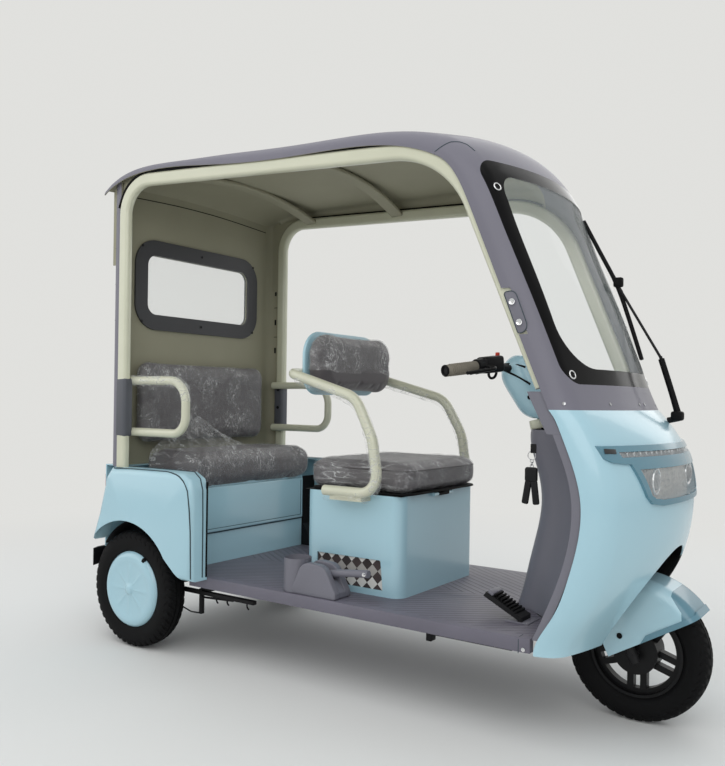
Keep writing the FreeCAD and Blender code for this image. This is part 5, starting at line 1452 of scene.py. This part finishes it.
class RICKSHAW_OT_floor(bpy.types.Operator):
    """Floor trim, handbrake console, pedal and hangers"""

    bl_idname = "rickshaw.floor"
    bl_label = "Floor"

    def execute(self, context):
        dress("floor_board", "floor", VEHICLE, 30, 0.007)
        seams = [pipe(path((652, side * 352, FLOOR_TOP), (652, side * 376, 280.5), (652, side * 380.5, 276),
                           (652, side * 381, 240)), 0.0011, smooth=False) for side in SIDES]
        group("floor_seams", seams, "joint", VEHICLE, "floor_grey")
        screws = [(spot(666, side * 381, 251), Vector((0, side, 0))) for side in (-1, 1)]
        bolts("floor_screws", screws, 0.0055, 0.0025, "chrome", VEHICLE, "wheel_steel")
        self.console()
        self.pedal()
        self.hangers()
        return {"FINISHED"}

    def console(self):
        """Cup holder and the rounded housing of the handbrake."""
        middle_y, wall = -332, 0.006
        cup = rod(spot(-121.5, middle_y, FLOOR_TOP), spot(-121.5, middle_y, 389), 0.0435, 48)
        sink_top(cup, wall, 0.086)
        softened(cup, 0.003, 3)
        corners = ((-0.118, 0.2812), (0.056, 0.2812), (0.056, 0.300), (0.012, 0.378), (-0.074, 0.384))
        side = rounded_outline(corners, (0.004, 0.006, 0.012, 0.040, 0.045), 10)
        cheeks = [softened(prism(side, "y", low, high), 0.006, 3)
                  for low, high in ((-0.3735, -0.3465), (-0.3175, -0.2905))]
        # Lower block between the cheeks, which leaves a slot for the lever
        slot_bottom = 0.332
        filler = tidy_mesh(prism([(x, min(z, slot_bottom)) for x, z in side], "y", -0.348, -0.316))
        group("handbrake_housing", [cup] + cheeks + [filler], "shield", VEHICLE, "shield_grey", 35,
              ("handbrake_console",))
        lever = pipe(path((-20, middle_y, 345), (60, middle_y, 362), (150, middle_y, 367)), 0.0115, sides=6)
        pin = rod(spot(-20, middle_y - 13, 344), spot(-20, middle_y + 13, 344), 0.007)
        group("handbrake_bar", [lever, pin], "shield", VEHICLE, "shield_grey", 45, ("handbrake_lever",))
        bolts("handbrake_screws", [(spot(140, middle_y - 10, 366), Vector((0.2, -1, 0.1)))], 0.006, 0.003,
              "chrome", VEHICLE, "wheel_steel")

    def pedal(self):
        """Ribbed rubber on the pedal's arm, its pad and its foot plate."""
        start, end = spot(512, -225, 349), spot(596, -225, 296)
        along, across = (end - start).normalized(), Vector((0, 1, 0))
        up = across.cross(along)
        up = -up if up.z < 0 else up
        ribs = []
        for k in range(8):
            half = 0.024 + 0.001 * k
            rib = slab((-0.0028, -half, -0.002), (0.0028, half, 0.0055), 0.0012)
            ribs.append(seated(rib, start + along * (0.012 + 0.0105 * k) + up * 0.002, along, across, up))
        group("pedal_ribs", ribs, "seal", VEHICLE, "black_plastic")
        pad = slab((-0.008, -0.031, -0.004), (0.010, 0.031, 0.006), 0.003, 3)
        seated(pad, start + along * -0.002, along, across, up)
        plate = slab(spot(560, -262, 280.5), spot(628, -186, 284), 0.0012)
        group("pedal_pad", [pad, plate], "shield", VEHICLE, "shield_grey")

    def hangers(self):
        """Cable guides and stays under the floor."""
        lines = [
            pipe(path((-548, -330, 232), (-548, -330, 200), (-540, -330, 196), (-400, -330, 204)), 0.004,
                 smooth=False),
            pipe(path((-650, -330, 150), (-600, -330, 137), (-548, -330, 139)), 0.0025, smooth=False),
            slab(spot(-554, -338, 138), spot(-542, -322, 226), 0.002),
            slab(spot(-640, -340, 205), spot(-300, -322, 219), 0.003),
        ]
        for x in (-470, -420, -330):
            lines.append(pipe(path((x, -336, 212), (x, -342, 196), (x + 12, -342, 190)), 0.0028))
        lines.append(slab(spot(281, -215, 166), spot(299, -185, 232), 0.002))
        lines.append(slab(spot(281, -214, 186), spot(560, -196, 204), 0.003))
        group("floor_hangers", lines, "chassis", VEHICLE, "chassis_black")


# node, finish, material slot, smoothing angle
STEERED = (
    ("fork", "chassis", "chassis_black", 35),
    ("handlebar", "chassis", "chassis_black", 35),
    ("grips", "grip", "grip_rubber", 35),
    ("switch_gear", "black_plastic", "black_plastic", 35),
    ("brake_levers", "alloy", "lever_metal", 35),
    ("head_cover", "body", "body_blue", 40),
    ("fender_trim", "accent", "lamp_teal", 40),
)


def grip_line(side):
    """Outer and inner end of a grip's middle line, and the direction outwards along it."""
    ring_depth = 0.012
    corners = [vertex.co for vertex in NODES["grips"].data.vertices if vertex.co.y * side > 0]
    reaches = [corner.y * side for corner in corners]
    ends = []
    for level in (max(reaches), min(reaches)):
        ring = [corner for corner in corners if abs(corner.y * side - level) < ring_depth]
        ends.append(sum(ring, Vector()) / len(ring))
    outer, inner = ends
    return outer, inner, (outer - inner).normalized()


class RICKSHAW_OT_steering(bpy.types.Operator):
    """Fork, handlebar with its controls, head cover and front fender"""

    bl_idname = "rickshaw.steering"
    bl_label = "Steering"

    def execute(self, context):
        for node, finish, slot, smooth in STEERED:
            dress(node, finish, STEERING, smooth)
        self.controls()
        self.cables()
        self.fender()
        return {"FINISHED"}

    def controls(self):
        """Ribs and caps of the grips, switch blocks, button and lever guards."""
        ribs, caps, blocks = [], [], []
        for side in SIDES:
            outer, inner, axis = grip_line(side)
            length = (outer - inner).length
            for k in range(12):
                place = inner + axis * (0.012 + (length - 0.030) * k / 11)
                ribs.append(torus(place, axis, 0.0165, 0.0016, 24, 6))
            caps.append(torus(outer + axis * 0.001, axis, 0.0135, 0.0035, 24, 8))
            caps.append(torus(inner - axis * 0.002, axis, 0.0175, 0.0045, 24, 8))
            block = slab((-0.024, -0.036, -0.022), (0.026, 0.036, 0.026), 0.009, 3)
            spin = Vector((0, side, 0)).rotation_difference(axis).to_matrix().to_4x4()
            block.data.transform(Matrix.Translation(inner - axis * 0.058) @ spin)
            guard_place = inner - axis * 0.062 + Vector((0.004, 0, -0.024))
            guard = torus(guard_place, axis.cross(Vector((0.2, 0, 1))), 0.015, 0.004)
            # Lever's hook over the grip: reach outwards, forwards and down
            knots = [inner + axis * out + Vector((ahead, 0, -down)) for out, ahead, down in
                     ((-0.050, 0.022, 0.004), (0.010, 0.038, 0.008), (0.062, 0.036, 0.012))]
            blocks += [block, guard, pipe(knots, 0.0055)]
        # The last grip is the right one, whose block carries the stop button
        top = inner - axis * 0.086 + Vector((0, 0, 0.024))
        button = softened(rod(top, top + Vector((0, 0, 0.011)), 0.0065, 20), 0.0015)
        group("grip_ribs", ribs, "grip", STEERING, "grip_rubber", 50)
        group("grip_caps", caps, "seal", STEERING, "black_plastic", 50)
        group("switch_blocks", blocks, "black_plastic", STEERING, "black_plastic", 35)
        finished(button, "stop_button", "button_red", STEERING)

    def cables(self):
        """Control cables clipped along the head cover, its screws and its foot."""
        lines = []
        for side in SIDES:
            outer, inner, axis = grip_line(side)
            start = inner - axis * 0.066 + Vector((0.010, 0, -0.002))
            for rows in (
                ((461, 72, 1002), (504, 84, 998), (527, 74, 990)),
                ((470, 100, 982), (507, 89, 964), (543, 74, 940)),
            ):
                knots = [start]
                for x, y, z in rows:
                    place, normal = nearest("head_cover", spot(x, side * y, z))
                    knots.append(place + normal * 0.0015)
                lines.append(pipe(knots, 0.0032))
        group("control_cables", lines, "seal", STEERING, "black_plastic", 60)
        level = box_of("head_cover")[0].z + 0.012
        foot = [vertex.co for vertex in NODES["head_cover"].data.vertices if vertex.co.z < level]
        middle = sum(foot, Vector()) / len(foot)
        collar_low = Vector((middle.x - 0.002, 0, 0.807))
        collar_high = Vector((middle.x - 0.008, 0, 0.834))
        collar = softened(rod(collar_low, collar_high, 0.029, 40), 0.002)
        finished(collar, "column_collar", "frame", STEERING)
        places = [nearest("head_cover", spot(548, -90, 898))]
        bolts("cover_screws", both_sides(places), 0.007, 0.002, "seal", STEERING, "black_plastic")

    def fender(self):
        """Front fender with a teal nose and side screws."""
        nose = ((0.950, 0.46), (0.953, 0.372), (0.982, 0.334), (0.984, 0.312), (0.972, 0.296), (1.2, 0.25),
                (1.2, 0.46))
        shell, tip = node_copy("front_fender"), node_copy("front_fender")
        carved(shell, prism(nose, "y", -0.3, 0.3), "DIFFERENCE")
        carved(tip, prism(nose, "y", -0.3, 0.3), "INTERSECT")
        finished(shell, "front_fender_shell", "body", STEERING, 40, ("front_fender",))
        repaint(shell, "black_plastic", faces_towards(spot(848, 0, FRONT_HUB_HEIGHT)))
        finished(tip, "front_fender_nose", "accent", STEERING, 40, ("front_fender",))
        places = [surface("front_fender", spot(821, -300, 247), spot(821, 0, 247))]
        bolts("fender_screws", both_sides(places), 0.008, 0.003, "seal", STEERING, "black_plastic")


# Section of a tyre as shares of its half width and its height above the rim
TYRE_SECTION = (
    (0.66, 0.00), (0.80, 0.05), (0.90, 0.14), (0.925, 0.17), (0.925, 0.20), (0.94, 0.24), (0.99, 0.40),
    (1.00, 0.52), (0.975, 0.66), (0.93, 0.78), (0.86, 0.875), (0.77, 0.93), (0.62, 0.965), (0.46, 0.985),
    (0.31, 0.995),
    (0.28, 0.945), (0.20, 0.945), (0.17, 1.00), (0.00, 1.00),
)


def lathed(name, knots, closed, centre, steps):
    """Section turned once round an axle that runs across the vehicle."""
    count = len(knots)
    mesh = bpy.data.meshes.new(name)
    mesh.from_pydata(knots, [(k, (k + 1) % count) for k in range(count if closed else count - 1)], [])
    piece = new_piece(mesh)
    edit(piece)
    bpy.ops.mesh.spin(steps=steps, angle=FULL_TURN, center=centre, axis=(0, 1, 0))
    leave_edit()
    return tidy_mesh(piece)


def tyre(node, body, centre, rim, radius, half):
    """Tyre with slanted shoulder lugs and two grooves round the tread."""
    sizes = bpy.context.scene.rickshaw_sizes
    # A pitch has as many steps as this, and its groove takes the first few of them
    pitch, groove = 8, 3
    shoulder, lug_rise, lean = 0.42, 0.70, 0.16
    steps = sizes.tread_pitches * pitch
    section = [(share * half, rim + rise * (radius - rim)) for share, rise in TYRE_SECTION]
    section += [(-y, r) for y, r in reversed(section[:-1])]
    knots = [(centre.x, centre.y + y, centre.z + r) for y, r in section]
    piece = lathed(node, knots, True, centre, steps)
    for vertex in piece.data.vertices:
        y = vertex.co.y - centre.y
        x, z = vertex.co.x - centre.x, vertex.co.z - centre.z
        reach = math.hypot(x, z)
        turn = math.atan2(z, x)
        share = abs(y) / half
        step = round(turn / FULL_TURN * steps) % pitch
        rise = (reach - rim) / (radius - rim)
        if share > shoulder and rise > lug_rise:
            # The lugs lean forward towards the shoulder, the two sides half a pitch apart
            other = pitch // 2 if y < 0 else 0
            if (step + other) % pitch < groove:
                reach -= sizes.tread_depth
            turn += (share - shoulder) * lean
        vertex.co.x = centre.x + reach * math.cos(turn)
        vertex.co.z = centre.z + reach * math.sin(turn)
    return finished(piece, node + "_tread", "tyre", body, 28, (node,))


# Section of a wheel cover: radius and height over its edge in millimetres
COVER_SECTION = (
    (0, 20.5), (10, 20.5), (15, 18.5), (19, 15.0), (26, 13.5), (50, 12.5), (84, 12.5), (96, 14.5),
    (108, 17.0), (120, 15.5), (128, 10.0), (132.5, 3.0), (133.5, 0.5), (131, 0.0), (0, 0.0),
)


def wheel_cover(node, body, centre, side):
    """Pressed cover with a boss, faint spokes and a clip over the valve."""
    base, spokes, ridge_height = COVER_SIDE / 1000, 8, 0.0016
    knots = [(centre.x, side * (base + rise / 1000), centre.z + reach / 1000)
             for reach, rise in COVER_SECTION]
    piece = lathed(node, knots, False, centre, 120)
    for vertex in piece.data.vertices:
        x, z = vertex.co.x - centre.x, vertex.co.z - centre.z
        if 0.022 < math.hypot(x, z) < 0.09 and vertex.co.y * side > base + 0.005:
            ridge = max(0.0, math.cos(spokes * math.atan2(z, x))) ** 3
            vertex.co.y += side * ridge_height * ridge
    finished(piece, node + "_pressing", "body", body, 40, (node,))
    clip = slab((-0.009, -0.006, -0.007), (0.012, 0.006, 0.007), 0.003, 3)
    turn = Matrix.Rotation(math.radians(-58), 4, "Y")
    clip.data.transform(Matrix.Translation((centre.x, side * (base + 0.008), centre.z)) @ turn
                        @ Matrix.Translation((0.124, 0, 0)))
    finished(clip, node + "_clip", "seal", body)


# node, finish, material slot, body
ROLLING = (
    ("front_wheel", "alloy", "alloy_black", FRONT_WHEEL),
    ("rear_wheel_left", "chassis", "wheel_steel", LEFT_WHEEL),
    ("rear_wheel_right", "chassis", "wheel_steel", RIGHT_WHEEL),
)


class RICKSHAW_OT_wheels(bpy.types.Operator):
    """Tyres, wheels and covers"""

    bl_idname = "rickshaw.wheels"
    bl_label = "Wheels"

    def execute(self, context):
        for node, finish, slot, body in ROLLING:
            dress(node, finish, body, 35)
        rim = 0.128
        front, rear = FRONT_HUB_HEIGHT, REAR_HUB_HEIGHT
        tyre("front_tyre", FRONT_WHEEL, spot(FRONT_AXLE, 0, front), rim, front / 1000, 0.040)
        for side, name, body in ((1, "left", LEFT_WHEEL), (-1, "right", RIGHT_WHEEL)):
            tyre("rear_tyre_" + name, body, spot(REAR_AXLE, side * 393, rear), rim, rear / 1000, 0.041)
            wheel_cover("wheel_cover_" + name, body, spot(REAR_AXLE, side * COVER_SIDE, rear), side)
        nuts = [(spot(FRONT_AXLE, side * 37, front), Vector((0, side, 0))) for side in SIDES]
        bolts("front_axle_nuts", nuts, 0.013, 0.006, "steel", FRONT_WHEEL, "wheel_steel")
        return {"FINISHED"}


# piece, radius and depth of the folds in metres, seed, the tube's middle line in millimetres
SLEEVES = (
    ("rail_film", 0.0172, 0.006, 3.0, (
        (-866, -400, 943), (-760, -400, 943), (-660, -400, 943), (-604, -400, 938), (-572, -400, 912),
        (-566, -400, 870))),
    ("foot_film", 0.0180, 0.006, 5.0, (
        (-54, -288, 590), (0, -288, 590), (60, -288, 590), (110, -288, 590))),
    ("near_arm_film", 0.0175, 0.004, 7.0, (
        (128, -288, 600), (146, -288, 640), (136, -288, 700), (124, -288, 760), (96, -284, 830),
        (50, -279, 888), (-60, -270, 916), (-200, -257, 955))),
    ("far_arm_film", 0.0175, 0.005, 9.0, (
        (146, 288, 620), (138, 288, 700), (124, 288, 760), (96, 284, 830), (50, 279, 888), (-60, 270, 916),
        (-200, 257, 955))),
)


class RICKSHAW_OT_wraps(bpy.types.Operator):
    """Crumpled packing film on the armrests"""

    bl_idname = "rickshaw.wraps"
    bl_label = "Packing film"

    def execute(self, context):
        for name, radius, ragged, seed, knots in SLEEVES:
            sleeve(name, path(*knots), radius, ragged, seed)
        return {"FINISHED"}


class RICKSHAW_PT_sidebar(bpy.types.Panel):
    """Lists the colours, the sizes and the operators"""

    bl_idname = "RICKSHAW_PT_sidebar"
    bl_label = "Rickshaw"
    bl_space_type = "VIEW_3D"
    bl_region_type = "UI"
    bl_category = "Rickshaw"

    def draw(self, context):
        scene = context.scene
        for group in (scene.rickshaw_colours, scene.rickshaw_sizes, scene.rickshaw_studio):
            box = self.layout.box()
            for name in group.__annotations__:
                box.prop(group, name)
        for operator in OPERATORS:
            self.layout.operator(operator.bl_idname)


GROUPS = (RickshawColours, RickshawSizes, RickshawStudio)
GROUP_NAMES = ("rickshaw_colours", "rickshaw_sizes", "rickshaw_studio")
OPERATORS = (
    RICKSHAW_OT_studio, RICKSHAW_OT_shells, RICKSHAW_OT_roof, RICKSHAW_OT_windshield, RICKSHAW_OT_front,
    RICKSHAW_OT_rear, RICKSHAW_OT_floor, RICKSHAW_OT_seats, RICKSHAW_OT_wraps, RICKSHAW_OT_steering,
    RICKSHAW_OT_wheels,
)


def register():
    for item in GROUPS + OPERATORS + (RICKSHAW_PT_sidebar,):
        bpy.utils.register_class(item)
    for name, item in zip(GROUP_NAMES, GROUPS):
        setattr(bpy.types.Scene, name, PointerProperty(type=item))


def unregister():
    for name in GROUP_NAMES:
        delattr(bpy.types.Scene, name)
    for item in reversed(GROUPS + OPERATORS + (RICKSHAW_PT_sidebar,)):
        bpy.utils.unregister_class(item)


def main():
    register()
    make_materials()
    bpy.ops.rickshaw.studio()
    bpy.ops.rickshaw.shells()
    bpy.ops.rickshaw.roof()
    bpy.ops.rickshaw.windshield()
    bpy.ops.rickshaw.front()
    bpy.ops.rickshaw.rear()
    bpy.ops.rickshaw.floor()
    bpy.ops.rickshaw.seats()
    bpy.ops.rickshaw.wraps()
    bpy.ops.rickshaw.steering()
    bpy.ops.rickshaw.wheels()


if __name__ == "__main__":
    main()
